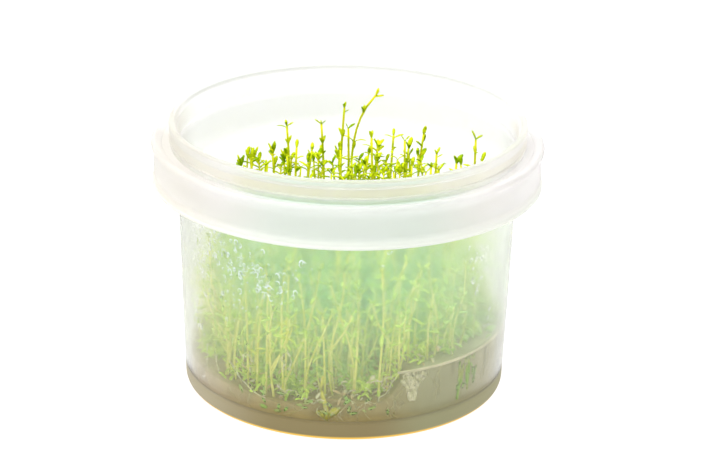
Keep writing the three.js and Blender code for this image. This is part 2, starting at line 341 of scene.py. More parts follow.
def inside_outline():
    corner = CORNER_R - WALL
    corner_z = FLOOR_TOP + corner
    return [(inner_wall(FLANGE_UNDER) + 0.4, FLANGE_Z), (inner_wall(FLANGE_UNDER), FLANGE_UNDER - WALL),
            *arc(inner_wall(corner_z) - corner, corner_z, corner, 0, -90, 6), (0, FLOOR_TOP)]


# %% Tub mesh
TUB_STEPS = 176
SHARP_DEGREES = 38
WALL_CORE = 0.6  # share of the wall that counts as its outside


def is_inside(point):
    """Whether a point of the tub lies on the inner wall, between the floor and the lip's ledge."""
    radius = math.hypot(point.x, point.y)
    return radius < outer_wall(point.z) - WALL_CORE * WALL and FLOOR_TOP < point.z < LEDGE_Z


def build_tub(clear, fogged):
    outline = foot_outline() + skirt_outline() + flange_outline() + lip_outline() + inside_outline()
    bm = spin_profile(outline, TUB_STEPS)
    for face in bm.faces:
        face.material_index = int(is_inside(face.calc_center_median() / MM))
    tub = to_object("tub_frosted", bm, [clear, fogged])
    tub.data.set_sharp_from_angle(angle=math.radians(SHARP_DEGREES))
    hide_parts("tub")
    print("tub triangles:", triangles(tub.data))


# %% [markdown]
# Frosted polypropylene
#
# Natural polypropylene lets most light through but is slightly milky, and its
# surface is satin. Plain transmission with a small roughness gives the see-through
# part. A share of diffuse white gives the milkiness. Its colour is painted zone by
# zone with the light that comes through from what stands behind: the plants'
# yellow-green and mint on the wall, green and tan bands on the lip, a warm upper
# left, paler sides and a whiter back with a small painted glow. The skirt's edge and
# the foot's corner carry painted highlights, the lip painted shade lines, and the
# foot painted shade in the gel's colours. Inside, breath from the plants has
# condensed in a fine fog, thicker towards the top and the sides, and gone where the
# gel wets the wall.


# %% Plastic materials
# Painted shade at the foot of the tub, in the gel's colours from the left to the right side.
FOOT_SHADE_IN_GEL_COLOURS = rgb(0.355, 0.31, 0.20), rgb(0.235, 0.19, 0.088), rgb(0.28, 0.27, 0.147), rgb(0.31, 0.29, 0.16)


def by_side(s, x, left, middle, right, far):
    """A colour that changes across the tub, from its left to its right side."""
    near = s.mix(x.ramp(-0.038, -0.016), left, middle)
    return s.mix(x.ramp(0.024, 0.038), s.mix(x.ramp(0.006, 0.022), near, right), far)


class TubZones:
    """Masks from 0 to 1 for the places of the moulding that look different."""

    def __init__(self, x, y, z):
        radius = from_axis(x, y)
        self.above = z.ramp(0.053, 0.057)
        self.back = y.ramp(0.0, 0.02)
        self.foot = z.ramp(0.0066, 0.0046)
        # Painted shade: a darker line along the top of the lip at the front.
        self.front_rim_shade = z.ramp(0.0704, 0.0708) * (1 - self.back)
        # Painted highlight along the bottom edge of the skirt.
        self.skirt_edge_highlight = z.ramp(0.0582, 0.0564) * radius.ramp(0.0478, 0.0484)
        # Painted refraction: a tan band on the lip, the gel's brown led up the wall.
        self.tan = z.ramp(0.066, 0.0668) * z.ramp(0.0688, 0.0682)
        # Painted light: a warm tint at the upper left.
        self.upper_left_warm_light = x.ramp(-0.025, -0.045) * self.above
        # Painted refraction: green bands on the lip's bead and under the flange, the plants' green led up the
        # wall, in the middle of the front only.
        middle = x.ramp(-0.034, -0.014) * x.ramp(0.036, 0.016) * (1 - self.back)
        bead = z.ramp(0.0693, 0.0697) * z.ramp(0.0706, 0.0702) * radius.ramp(0.0448, 0.0451)
        self.green = (bead + z.ramp(0.0664, 0.0656) * radius.ramp(0.0489, 0.0484) * self.above) * middle
        # Painted shade: darker lines along the lip's edges at the back.
        outer_edge = radius.ramp(0.0446, 0.0451) * z.ramp(0.0698, 0.0702)
        self.lip_edge_shade = (outer_edge + radius.ramp(0.0446, 0.0442) * z.ramp(0.0690, 0.0706)) * self.back
        # Painted sheen: the left and right sides of the wall below the flange, where it turns away from the
        # front, get paler milk.
        sides = x.ramp(-0.027, -0.037) + x.ramp(0.016, 0.037)
        self.side = sides * (1 - self.above) * z.ramp(0.016, 0.022, 0.3, 1.0)


def plastic_tint(s, zone, x, z):
    """Colour of the milky share, painted zone by zone with light and shade, from the plants' light on the
    wall to a painted gold highlight along the foot.
    """
    # Painted light: the wall's milk takes the yellow-green of the plants low down and their mint haze higher
    # up.
    wall = s.mix(z.ramp(0.018, 0.044), rgb(0.94, 0.99, 0.72), rgb(0.56, 0.97, 1.0))
    # Painted sheen at the sides: warm at the left, cooler at the right.
    pale = s.mix(x.ramp(-0.01, 0.01), rgb(0.96, 0.94, 0.85), rgb(0.92, 0.96, 0.88))
    return s.layers(wall,
                    (zone.above, rgb(0.91, 0.86, 0.88)),
                    # painted shade along the top of the lip at the front
                    (zone.front_rim_shade, rgb(0.80, 0.80, 0.70)),
                    # painted highlight on the skirt's bottom edge
                    (zone.skirt_edge_highlight, rgb(0.94, 0.92, 0.89)),
                    # painted tan band of refracted gel colour
                    (zone.tan * 0.75, rgb(0.90, 0.79, 0.65)),
                    # painted green bands of refracted plant colour
                    (zone.green * 0.85, rgb(0.58, 0.75, 0.64)),
                    # painted warm light at the upper left
                    (zone.upper_left_warm_light * 0.65, rgb(0.80, 0.73, 0.64)),
                    # Painted light: whiter milk at the back, where the white studio stands behind it.
                    (zone.back, rgb(0.95, 0.95, 0.98)),
                    # painted shade lines on the lip's edges at the back
                    (zone.lip_edge_shade, rgb(0.62, 0.62, 0.60)),
                    # painted sheen at the sides
                    (zone.side * 0.9, pale),
                    # Painted shade at the foot, in the gel's colours, where the gel darkens the base below
                    # it.
                    (z.ramp(0.0088, 0.0064), by_side(s, x, *FOOT_SHADE_IN_GEL_COLOURS)),
                    # Painted highlight: a gold line along the bottom corner, for light led through the base.
                    (z.ramp(0.0016, 0.0009), rgb(0.90, 0.55, 0.07)))


def milk_amount(zone, cloud, x, z):
    """How much of the outside is milky: little on the wall, more on the skirt, most at the foot."""
    below = 1 - zone.above
    body = (z.ramp(0.006, 0.024, 0.08, 0.18) + x.ramp(0.005, 0.03) * 0.04).math("MINIMUM", 0.19)
    # At the back the milk is thicker, here and in the last line: painted light from the white studio behind
    # it.
    amount = zone.above * (0.5 + zone.back * 0.25) + body * below * (1 - zone.side) + cloud * 0.03
    # More milk where the sides carry a painted sheen and where the skirt's edge carries a painted highlight.
    amount = amount + zone.side * 0.215 + zone.skirt_edge_highlight * 0.35
    # More milk under the painted green bands and painted shade lines of the lip; the foot is nearly opaque
    # milk, which carries its painted shade.
    amount = amount + (zone.green + zone.lip_edge_shade) * 0.3 + zone.foot * 0.95
    return amount + zone.back * below * z.ramp(0.02, 0.055) * 0.06


def fog_amount(zone, cloud, z):
    """How much of the inner wall is fogged."""
    height = (z.ramp(0.01, 0.03, 0.12, 0.18) + zone.side * 0.05).math("MINIMUM", 0.22)
    return height * (1 - zone.back * 0.2) * cloud.ramp(0.3, 0.75, 0.9, 1.05) * z.ramp(0.006, 0.012)


def plastic(name, fog):
    s = Shader(name)
    where, x, y, z = s.place()
    zone = TubZones(x, y, z)
    cloud = s.noise(where, 55.0, 3.0)
    # Painted glow: the milk at the back of the flange and skirt glows a little, as if lit from the white
    # behind it.
    far = s.mix(zone.back * z.ramp(0.05, 0.056) * (1 - zone.lip_edge_shade).clamped(), BLACK, WHITE)
    clear = s.principled(base_color=rgb(0.995, 0.995, 0.99), ior=1.25, transmission_weight=1.0,
                         roughness=z.ramp(0.010, 0.042, 0.07, 0.2) + s.noise(where, 900.0) * 0.05)
    white = s.principled(base_color=plastic_tint(s, zone, x, z), roughness=0.5, specular_ior_level=0.2,
                         emission_color=far, emission_strength=0.12)
    through = s.node("ShaderNodeBsdfTranslucent", {}, {"Color": rgb(0.99, 0.99, 0.98)})
    milk = s.blend(0.5 - 0.5 * zone.foot, white, through)
    amount = fog_amount(zone, cloud, z) if fog else milk_amount(zone, cloud, x, z)
    return s.finish(s.blend(amount.clamped(), clear, milk))


build_tub(plastic("frosted polypropylene", False), plastic("fogged inner wall", True))

# %% [markdown]
# The agar gel
#
# The growing medium is a firm, cloudy jelly cast in the tub. It lies high on the
# right, breaks down in a torn step, and is low on the left. The plug is turned
# like the tub, and the points of its top are then lifted to the same height
# function as the CAD solid, plus a small uneven swell that tears along the step.
# At the front its side is pushed in, where a short shoot sank.

# %% Gel shape
GEL_LOW = 10.6
GEL_HIGH = 18.4
STEP_X = 4.5
STEP_NORMAL = (0.97, 0.2425)
STEP_WIDTH = 10
DIP = {"x": -18, "y": -34, "depth": 1.4, "spread": 14}
SWELL_SINK = 0.35
LUMP_HEIGHT = 0.3
TORN_HEIGHT = 0.9
EDGE_START = 0.9
NICHE = {"degrees": -5.2, "half_width": 6.6, "depth": 3.4, "starts_z": 3.2, "full_z": 4.2}
GEL_STEPS = 180
GEL_RINGS = 30
GEL_SIDES = 8
NEAR = 0.01


def smoothstep(value, low, high):
    t = min(1, max(0, (value - low) / (high - low)))
    return t * t * (3 - 2 * t)


def past_step(x, y):
    """How far a place is to the high side of the step's middle, in millimetres."""
    return STEP_NORMAL[0] * (x - STEP_X) + STEP_NORMAL[1] * y


def gel_top(x, y):
    """Height of the gel's top in millimetres, as the CAD solid has it."""
    rise = smoothstep(past_step(x, y), -STEP_WIDTH / 2, STEP_WIDTH / 2)
    from_dip = math.hypot(x - DIP["x"], y - DIP["y"]) / DIP["spread"]
    return GEL_LOW + (GEL_HIGH - GEL_LOW) * rise - DIP["depth"] * math.exp(-from_dip ** 2)


def lumps(x, y, per_mm, layer):
    return noise.noise(Vector((x * per_mm, y * per_mm, layer)))


def gel_swell(x, y):
    """Small lumps, larger where the gel has torn."""
    torn = math.exp(-(past_step(x, y) / STEP_WIDTH) ** 2)
    return -SWELL_SINK + LUMP_HEIGHT * lumps(x, y, 0.35, 3.1) + torn * TORN_HEIGHT * lumps(x, y, 0.8, 9.7)


def niche_depth(x, y, z):
    """How far the side is pushed in where the short shoot sank, in millimetres."""
    off = (math.degrees(math.atan2(x, -y)) - NICHE["degrees"]) / NICHE["half_width"]
    return NICHE["depth"] * max(0, 1 - off ** 2) * smoothstep(z, NICHE["starts_z"], NICHE["full_z"])


def shaped(x, y, z, corner_z, edge_r):
    """Where a point of the turned plug goes, above its round bottom corner."""
    top, radius = gel_top(x, y), math.hypot(x, y)
    if z < GEL_LOW - NEAR:
        z = corner_z + (z - corner_z) * (top - corner_z) / (GEL_LOW - corner_z)
        wanted = inner_wall(z) - GAP - niche_depth(x, y, z)
    else:
        at_edge = smoothstep(radius, edge_r * EDGE_START, edge_r)
        z = min(top, top + gel_swell(x, y) * (1 - 0.7 * at_edge))
        wanted = radius * (1 + at_edge * ((inner_wall(top) - GAP) / edge_r - 1))
        wanted -= niche_depth(x, y, z) * at_edge
    share = wanted / radius if radius else 1
    return Vector((x * share, y * share, z)) * MM


def build_gel(material):
    bottom, corner = FLOOR_TOP + GAP, CORNER_R - WALL
    corner_z = bottom + corner
    edge_r = inner_wall(GEL_LOW) - GAP
    side = [(edge_r, corner_z + (GEL_LOW - corner_z) * i / GEL_SIDES) for i in range(1, GEL_SIDES)]
    top = [(edge_r * i / GEL_RINGS, GEL_LOW) for i in range(GEL_RINGS, -1, -1)]
    bm = spin_profile([(0, bottom), *arc(inner_wall(corner_z) - GAP - corner, corner_z, corner, -90, 0, 5),
                       *side, *top], GEL_STEPS)
    for vert in bm.verts:
        x, y, z = vert.co / MM
        if z >= corner_z + NEAR:
            vert.co = shaped(x, y, z, corner_z, edge_r)
    gel = to_object("agar_gel_plug", bm, [material])
    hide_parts("agar_gel")
    print("gel triangles:", triangles(gel.data))


# %% [markdown]
# Gel material
#
# Agar with nutrients is a cloudy amber-olive jelly. Light goes in and is absorbed
# over a few centimetres, so thick places look brown. Part of it scatters back at
# once, which a mix with a diffuse finish stands for. Near the foot the gel is
# painted lighter and given a small glow: painted light against the shade that the
# tub's milky foot casts on it.


# %% Gel finish
GEL_PLAIN = rgb(0.66, 0.53, 0.34), rgb(0.47, 0.36, 0.125), rgb(0.44, 0.43, 0.23), rgb(0.56, 0.50, 0.28)
# Lighter gel colours near its foot: painted light against the shade of the tub's milky foot.
GEL_PAINTED_LIGHT = rgb(0.95, 0.82, 0.55), rgb(0.82, 0.66, 0.29), rgb(0.80, 0.72, 0.40), rgb(0.95, 0.87, 0.55)


def agar():
    s = Shader("cloudy agar")
    where, x, y, z = s.place()
    # Painted light near the foot, as lighter colour and a small glow.
    painted_light = by_side(s, x, *GEL_PAINTED_LIGHT)
    stretched = s.node("ShaderNodeVectorMath", {"operation": "MULTIPLY"}, {0: where, 1: (1, 1, 0.12)})
    streaks = s.noise(stretched, 420.0, 1.0).ramp(0.54, 0.66) * z.ramp(0.005, 0.011)
    shade = s.layers(by_side(s, x, *GEL_PLAIN),
                     (s.noise(where, 60.0, 3.0).ramp(0.35, 0.75, 0.0, 0.4), rgb(0.26, 0.21, 0.05)),
                     (streaks * x.ramp(0.008, 0.03, 0.25, 0.6), rgb(0.16, 0.17, 0.05)),
                     (z.ramp(0.0174, 0.0181, 0.0, 0.8), rgb(0.60, 0.62, 0.38)),
                     # painted light: lighter towards the foot
                     (z.ramp(0.0075, 0.0045, 0.0, 0.25), painted_light))
    # The emission is a painted glow near the foot.
    body = s.principled(base_color=shade, roughness=0.35, ior=1.34, specular_ior_level=0.2,
                        emission_color=s.mix(z.ramp(0.0072, 0.0052), BLACK, painted_light), emission_strength=0.15,
                        normal=s.bump(s.noise(where, 260.0, 3.0), 0.0004))
    depth = s.principled(base_color=rgb(0.70, 0.62, 0.34), roughness=0.15, ior=1.2, transmission_weight=1.0)
    return s.finish(s.blend(0.24, body, depth))


build_gel(agar())

# %% [markdown]
# Leaves and stems
#
# Microcarpaea minima has thread-like stems with pairs of narrow leaves 2 to 4 mm
# long, each pair a quarter turn round from the last. A leaf is a flat blade with a
# ridge: a four-sided ring, extruded and scaled along its length, and then bent.
# A few kinds are enough: a straight young one, a bent one, two that curl over, and
# a broad one for buds and for the foot of the carpet.

# %% Leaf templates
LEAF_STATIONS = ((0.0, 0.35), (0.28, 0.8), (0.6, 1.0), (0.86, 0.72))
LEAF_FLATNESS = 0.42


def leaf_template(name, curl, slimness):
    """A blade one unit long that points up Z; curl is how many degrees it bends back."""
    bm = bmesh.new()
    ring = bmesh.ops.create_circle(bm, cap_ends=True, segments=4, radius=0.5 * slimness)["verts"]
    bmesh.ops.scale(bm, verts=ring, vec=(LEAF_STATIONS[0][1], LEAF_STATIONS[0][1] * LEAF_FLATNESS, 1))
    face = bm.faces[:][0]
    last = LEAF_STATIONS[0]
    for station in (*LEAF_STATIONS[1:], (1.0, 0.0)):
        out = bmesh.ops.extrude_face_region(bm, geom=[face])["geom"]
        face = next(g for g in out if isinstance(g, bmesh.types.BMFace))
        bmesh.ops.translate(bm, verts=face.verts[:], vec=(0, 0, station[0] - last[0]))
        if station[1]:
            grow = station[1] / last[1]
            bmesh.ops.scale(bm, verts=face.verts[:], vec=(grow, grow, 1))
        last = station
    bmesh.ops.pointmerge(bm, verts=face.verts[:], merge_co=(0, 0, 1))
    bend = math.radians(curl)
    for vert in bm.verts:
        share = vert.co.z
        along = Matrix.Rotation(bend * share * 0.5, 3, "X") @ Vector((vert.co.x, 0, share))
        vert.co = along + Matrix.Rotation(bend * share, 3, "X") @ Vector((0, vert.co.y, 0))
    bmesh.ops.recalc_face_normals(bm, faces=bm.faces[:])
    mesh = to_mesh(name, bm)
    for polygon in mesh.polygons:
        polygon.material_index = 1
    return mesh


STRAIGHT, BENT, CURLED, ARCHED, BROAD = range(5)
LEAVES = [leaf_template("leaf straight", 10, 0.44), leaf_template("leaf bent", 50, 0.38),
          leaf_template("leaf curled", 115, 0.3), leaf_template("leaf arched", 85, 0.25),
          leaf_template("leaf broad", 35, 0.42)]
print("leaf triangles:", triangles(LEAVES[0]))


# %% Stem sweep
def sweep(bm, points, radii, sides, material_index=0):
    """Extrudes one capped ring from point to point; used for stems and roots."""
    ring = bmesh.ops.create_circle(bm, cap_ends=True, segments=sides, radius=radii[0])["verts"]
    face = ring[0].link_faces[0]
    face.material_index = material_index
    aim = (points[1] - points[0]).to_track_quat("Z", "X")
    bmesh.ops.rotate(bm, verts=ring, cent=(0, 0, 0), matrix=aim.to_matrix())
    bmesh.ops.translate(bm, verts=ring, vec=points[0])
    for i in range(1, len(points)):
        out = bmesh.ops.extrude_face_region(bm, geom=[face])["geom"]
        face = next(g for g in out if isinstance(g, bmesh.types.BMFace))
        after = points[min(i + 1, len(points) - 1)]
        new_aim = (after - points[i - 1]).to_track_quat("Z", "X")
        turn = (new_aim @ aim.inverted()).to_matrix()
        bmesh.ops.translate(bm, verts=face.verts[:], vec=points[i] - points[i - 1])
        bmesh.ops.rotate(bm, verts=face.verts[:], cent=points[i], matrix=turn)
        grow = radii[i] / radii[i - 1]
        bmesh.ops.scale(bm, verts=face.verts[:], vec=(grow,) * 3,
                        space=Matrix.Translation(-points[i]))
        aim = new_aim


def sized(point, turn, size):
    """A place for a template one unit long: where its foot is, how it is turned, and its length."""
    return Matrix.Translation(point) @ (turn * size).to_4x4()


def set_leaf(bm, base, up, around, open_angle, length, kind):
    """Puts one leaf at a joint: open_angle is how far it stands off the stem."""
    out = Vector((math.cos(around), math.sin(around), 0))
    side = up.cross(out).normalized()
    out = side.cross(up).normalized()
    direction = up * math.cos(open_angle) + out * math.sin(open_angle)
    back = direction.cross(side).normalized()
    lay(bm, LEAVES[kind], sized(base, Matrix((side, back, direction)).transposed(), length))


# %% [markdown]
# Growing one shoot
#
# A shoot is a stem along a line, with a joint every few millimetres from the tip
# down, and two leaves at each joint. Young leaves at the tip stand close
# together; older ones spread and arch over.


# %% Shoot builder
def pair(drop, turn, opening, length, kind):
    """Two leaves opposite each other: mm below the tip, degrees, degrees, mm, kind of leaf."""
    return [(drop, turn, opening, length, kind), (drop, turn + 180, opening, length, kind)]


STYLES = {
    "bud": pair(0, 80, 5, 2.5, BROAD) + pair(4.6, 120, 25, 2.4, BENT),
    "fork": pair(0, 20, 34, 2.3, STRAIGHT) + pair(4.8, 80, 26, 2.4, BENT),
    "wide": pair(0, 10, 24, 2.6, ARCHED) + pair(3.6, 95, 40, 2.6, BENT),
    "tulip": pair(0, 30, 14, 3.0, STRAIGHT) + pair(0.7, 70, 16, 3.0, BROAD) + pair(1.4, 130, 30, 2.4, BENT),
    "arch": pair(0, 80, 5, 2.4, BROAD) + pair(2.6, 5, 28, 3.4, ARCHED) + pair(6.5, 60, 34, 2.6, BENT),
    "tuft": pair(0, 60, 18, 2.6, BROAD) + pair(0.8, 130, 32, 2.6, BROAD) + pair(1.8, 20, 40, 2.8, BENT)
            + pair(3.2, 75, 36, 2.6, ARCHED),
    "crowd": pair(0, 60, 36, 2.4, BROAD) + pair(1.0, 130, 34, 2.6, ARCHED) + pair(2.0, 20, 44, 2.8, BENT)
             + pair(3.2, 100, 50, 2.6, BROAD),
    "vee": pair(0, 25, 44, 1.9, STRAIGHT) + pair(0.2, 90, 10, 1.6, BROAD),
}
TOPS = [
    (0, STYLES["tuft"]),
    (0, STYLES["vee"]),
    (0.2, STYLES["tulip"]),
    (0.6, [(0, 110, 10, 1.9, STRAIGHT), (0, -20, 48, 2.3, STRAIGHT), (0.8, 185, 34, 2.6, ARCHED),
           (5.2, 50, 12, 2.7, BROAD), (5.2, 230, 16, 2.2, STRAIGHT)]),
    (0.3, [(0, 90, 4, 2.1, BROAD), (0, 270, 4, 1.9, STRAIGHT)]),
    (0.2, [(0, 90, 5, 2.2, BROAD), (1.4, 0, 36, 3.0, ARCHED), (1.4, 190, 30, 2.0, STRAIGHT),
           (5.0, 180, 34, 3.4, BENT)]),
    (1.7, [(0, 180, 36, 2.2, STRAIGHT), (0, -20, 48, 1.9, STRAIGHT), (0.1, 90, 5, 1.2, BROAD),
           (5.4, 240, 12, 2.3, BROAD), (5.4, 60, 20, 2.6, BROAD), (8.4, 110, 14, 2.6, BROAD),
           (8.4, 310, 28, 2.4, BROAD)]),
    (1.1, [(0, 250, 16, 2.1, BROAD), (0, 80, 14, 1.9, BROAD), (1.3, 0, 55, 1.5, STRAIGHT),
           (8.2, 240, 12, 3.2, BROAD), (8.6, 60, 16, 2.6, BROAD), (13.4, 230, 16, 2.5, BROAD),
           (14.6, 0, 30, 3.4, ARCHED)]),
    (0.9, [(0, 180, 18, 1.9, STRAIGHT), (0, 40, 46, 2.5, BROAD), (5.6, 90, 10, 1.6, STRAIGHT)]),
    (0.9, [(0, 235, 24, 2.4, BROAD), (0, 120, 20, 2.2, BROAD), (0.4, 0, 34, 2.8, STRAIGHT),
           (5.6, 235, 18, 2.8, BROAD), (5.6, 120, 14, 2.4, BROAD), (14.2, 0, 28, 3.4, ARCHED),
           (14.2, 180, 26, 3.8, ARCHED), (16.4, 60, 12, 2.4, BROAD)]),
    (1.2, [(0, 250, 5, 2.4, BROAD), (0, 70, 5, 2.3, BROAD), (0.6, 0, 60, 1.3, STRAIGHT),
           (2.6, 180, 30, 2.8, ARCHED), (2.6, 100, 12, 1.7, BROAD), (4.6, 185, 40, 2.2, BENT),
           (4.8, 0, 36, 3.4, ARCHED)]),
    (0, [(0, 200, 24, 2.7, STRAIGHT), (0, 40, 34, 3.0, BROAD), (0.6, 100, 20, 2.6, BROAD),
         (0.6, 280, 28, 2.8, BROAD), (1.6, 210, 38, 2.7, BROAD), (1.6, 30, 44, 2.7, BROAD),
         (3.2, 0, 50, 2.4, BENT), (3.2, 180, 30, 2.4, BENT)]),
    (0.4, [(0, 90, 4, 2.3, STRAIGHT), (1.0, 185, 28, 2.5, ARCHED), (1.0, -10, 40, 3.1, BENT)]),
    (0.8, [(0, 190, 24, 1.9, STRAIGHT), (0, -20, 40, 2.0, STRAIGHT), (4.5, 200, 30, 2.0, BENT)]),
    (0, [(0, 230, 18, 2.7, BROAD), (0, 60, 8, 2.9, BROAD), (4.0, 230, 18, 2.3, BROAD),
         (4.0, 30, 35, 2.3, BROAD)]),
    (0, [(0, 70, 5, 2.8, BROAD), (0, 250, 8, 2.3, STRAIGHT), (2.4, 60, 10, 2.5, BROAD),
         (3.6, 215, 26, 3.2, BROAD), (7.2, 50, 20, 3.3, BROAD), (7.2, 240, 15, 2.2, BROAD)]),
    (0.2, [(0, 240, 10, 2.2, BROAD), (0, 40, 16, 2.2, BROAD), (0.9, 0, 56, 1.8, STRAIGHT),
           (4.2, 180, 34, 2.7, BENT), (4.2, 0, 40, 2.3, BENT)]),
    (0, STYLES["vee"]),
    (0, [(0, 240, 6, 2.9, BROAD), (0, 40, 34, 3.3, BROAD)]),
    (-0.6, [(0, 200, 16, 2.9, STRAIGHT), (0, 30, 46, 2.5, BROAD)]),
    (0.2, [(0, 60, 16, 2.5, BROAD), (0.3, 220, 20, 1.4, BROAD)]),
]
STEM_SECTION = 3.4
STEM_TAPER = 0.28
BARE_FOOT = 5
WIDEST_LEAN = 78


def grow(bm, line, length, draw, top=(), opening=35, stem_r=0.32, internode=4.6, first_leaf=2.2, sides=5):
    """Adds a stem and its leaves. line gives a point in metres for a share of 0 to 1.

    The lower joints have lost more and more of their leaves, which leaves the stem bare.
    """
    steps = max(6, int(length / STEM_SECTION))
    points = [line(i / steps) for i in range(steps + 1)]
    radii = [stem_r * MM * (1 - STEM_TAPER * i / steps) for i in range(steps + 1)]
    sweep(bm, points, radii, sides)

    def leaf_at(drop, turn, lean, size, kind):
        share = 1 - max(0.05, drop) / length
        up = (line(min(1, share + 0.01)) - line(share - 0.01)).normalized()
        set_leaf(bm, line(share), up, math.radians(turn), math.radians(lean), size * MM, kind)

    drop, joint, turn = 0.0, 0, draw.uniform(0, 180)
    for drop, turn, lean, size, kind in top:
        leaf_at(drop, turn + draw.uniform(-12, 12), lean * draw.uniform(0.85, 1.2),
                size * draw.uniform(0.88, 1.12), kind)
    if top:
        joint = 2
        drop += internode * draw.uniform(0.6, 1)
    while drop < length - BARE_FOOT:
        turn += 90 + draw.uniform(-25, 25)
        spread = min(WIDEST_LEAN, opening * (1 + 0.3 * joint)) * draw.uniform(0.8, 1.15)
        for side in (0, 180):
            kind = STRAIGHT if joint == 0 else draw.choice((STRAIGHT, BENT, BENT, CURLED, ARCHED))
            size = first_leaf * draw.uniform(0.8, 1.2) * min(1.4, 1 + 0.15 * joint)
            where = (turn + side + draw.uniform(-18, 18), spread * draw.uniform(0.8, 1.2))
            if draw.random() > 1.2 * (drop - 9) / length:
                leaf_at(drop, *where, size, kind)
        drop += internode * draw.uniform(0.65, 1.2) * (1.0 if joint else 0.75)
        joint += 1


# %% [markdown]
# Where the shoots stand
#
# The tall shoots repeat the CAD model's own list: foot, tip, sideways bow, how
# wide the top leaves open, and for one of them how late its stem leans over. The
# lower ones repeat its sunflower spiral and its scatter, so each fine shoot stands
# on the centre line of its solid.

# %% Shoot positions, in millimetres and degrees
class Shoot:
    """Where a shoot stands, and the side twigs it carries as pairs of height and tip."""

    def __init__(self, foot, tip, bow, opening=35, late=2, twigs=()):
        self.foot, self.tip, self.bow = foot, tip, bow
        self.opening, self.late, self.twigs = opening, late, twigs


TALL_SHOOTS = [Shoot(*place) for place in (
    ((-24, 1), (-25, 0, 62), (1.5, 0.5), 42),
    ((-22, 11), (-21, 11, 56), (-1, 0.5), 35),
    ((-18, 6), (-19.5, 4, 62), (0.5, 1), 16),
    ((-15, 14), (-16, 12, 66), (1, 0), 32),
    ((-13, 1), (-13, 2, 64), (-0.6, -0.5), 20),
    ((-11.5, 8), (-9, 8, 61), (-1, 0), 30),
    ((-6, 14), (-7, 14, 65), (0.8, 0), 30),
    ((-2, 21), (-1, 20, 68), (-0.6, 0.5), 12),
    ((0, 11), (0, 10, 66), (0.6, 0.4), 34),
    ((2, 28), (8, 25, 69.8), (-2, 0.6), 24, 7),
    ((6, 3), (6, 5, 65), (0.8, -0.8), 18),
    ((7, 15), (8, 15, 60), (-0.8, 0.4), 44),
    ((10, 22), (12, 20, 61), (0.6, 0.6), 22),
    ((14, 4), (14.5, 4, 65), (0.8, 0.6), 28),
    ((15, 13), (16, 14, 60), (-0.8, -0.6), 36),
    ((18, 21), (20, 19, 62), (-0.6, 0.8), 10),
    ((22, 10), (23, 9, 60), (0.5, 0.9), 34),
    ((21, -1), (21.5, 0, 60), (-0.6, -0.8), 46),
    ((28, 3), (28, 3, 60), (-0.8, 0.7), 30),
    ((32, 11), (33, 9, 65), (0.7, 0.5), 27),
    ((34, 2), (34.5, 2, 61), (-0.7, -0.8), 14),
)]
SOCKET_DEPTH = 4
LEAF_LENGTH = 2.8
CARPET_R = 37.4
CARPET_SPOTS = 124
CARPET_TOP = 48
TALL_CLEAR = 4.2
POCKET = (-3.7, -38)
POCKET_CLEAR = 6.3
TWIG_REACH = 8.8
TWIG_CLEAR = 2.2
TWIG_START = 7.5
TWIG_STEP = 2.5


def scatter(index, use):
    wave = math.sin(index * 12.9898 + use * 78.233) * 43758.5453
    return wave - math.floor(wave)


def off_line(point, start, end):
    """Distance from a point to the line between two others, seen from above."""
    along = (end[0] - start[0], end[1] - start[1])
    reached = (point[0] - start[0]) * along[0] + (point[1] - start[1]) * along[1]
    share = min(1, max(0, reached / (along[0] ** 2 + along[1] ** 2)))
    return math.dist((start[0] + share * along[0], start[1] + share * along[1]), point)


def carpet_spots():
    spots = []
    for i in range(CARPET_SPOTS):
        x, y, angle = sunflower(i, CARPET_SPOTS, CARPET_R, (scatter(i, 1) - 0.5) / (3 + math.sqrt(i)))
        if all(math.dist(tall.foot, (x, y)) > TALL_CLEAR for tall in TALL_SHOOTS):
            spots.append(((x, y), angle, i))
    return spots


def carpet_tip(at, seed):
    return min(CARPET_TOP, CARPET_TOP + 2 - 0.4 * at[1]) - 14 * scatter(seed, 3)


def rooted(spot):
    return math.dist(POCKET, spot[0]) > POCKET_CLEAR


def fill_shoots():
    """Lower shoots, each with the side twigs that reach the nearest free spots."""
    spots, shoots = carpet_spots(), []
    while any(map(rooted, spots)):
        foot, angle, seed = spots.pop(next(i for i, spot in enumerate(spots) if rooted(spot)))
        twigs = []
        for n in range(2):
            near = [spot for spot in spots if math.dist(spot[0], foot) < TWIG_REACH
                    and all(off_line(tall.foot, foot, spot[0]) > TWIG_CLEAR for tall in TALL_SHOOTS)]
            if near:
                closest = min(near, key=lambda spot: math.dist(spot[0], foot))
                spots.remove(closest)
                twigs.append((TWIG_START + TWIG_STEP * n, (*closest[0], carpet_tip(closest[0], closest[2]))))
        lean = 2.2 * (scatter(seed, 2) - 0.5)
        tip = (foot[0] + lean * math.cos(5 * angle), foot[1] + lean * math.sin(5 * angle),
               carpet_tip(foot, seed))
        bow = (1.4 * (scatter(seed, 4) - 0.5), 1.4 * (scatter(seed, 5) - 0.5))
        shoots.append(Shoot(foot, tip, bow, 20 + 28 * scatter(seed, 6), twigs=twigs))
    return shoots


def shoot_line(shoot, depth, stop=1):
    """The centre line in metres, for shares from its foot to its top joint, and its length in mm."""
    foot, tip, bow = shoot.foot, shoot.tip, shoot.bow
    bottom = gel_top(*foot) - depth

    def line(share):
        s = share * stop
        lean, swing = s ** shoot.late, math.sin(math.pi * s) * s
        return Vector((foot[0] + (tip[0] - foot[0]) * lean + bow[0] * swing,
                       foot[1] + (tip[1] - foot[1]) * lean + bow[1] * swing,
                       bottom + (tip[2] - bottom) * s)) * MM
    return line, (tip[2] - bottom) * stop


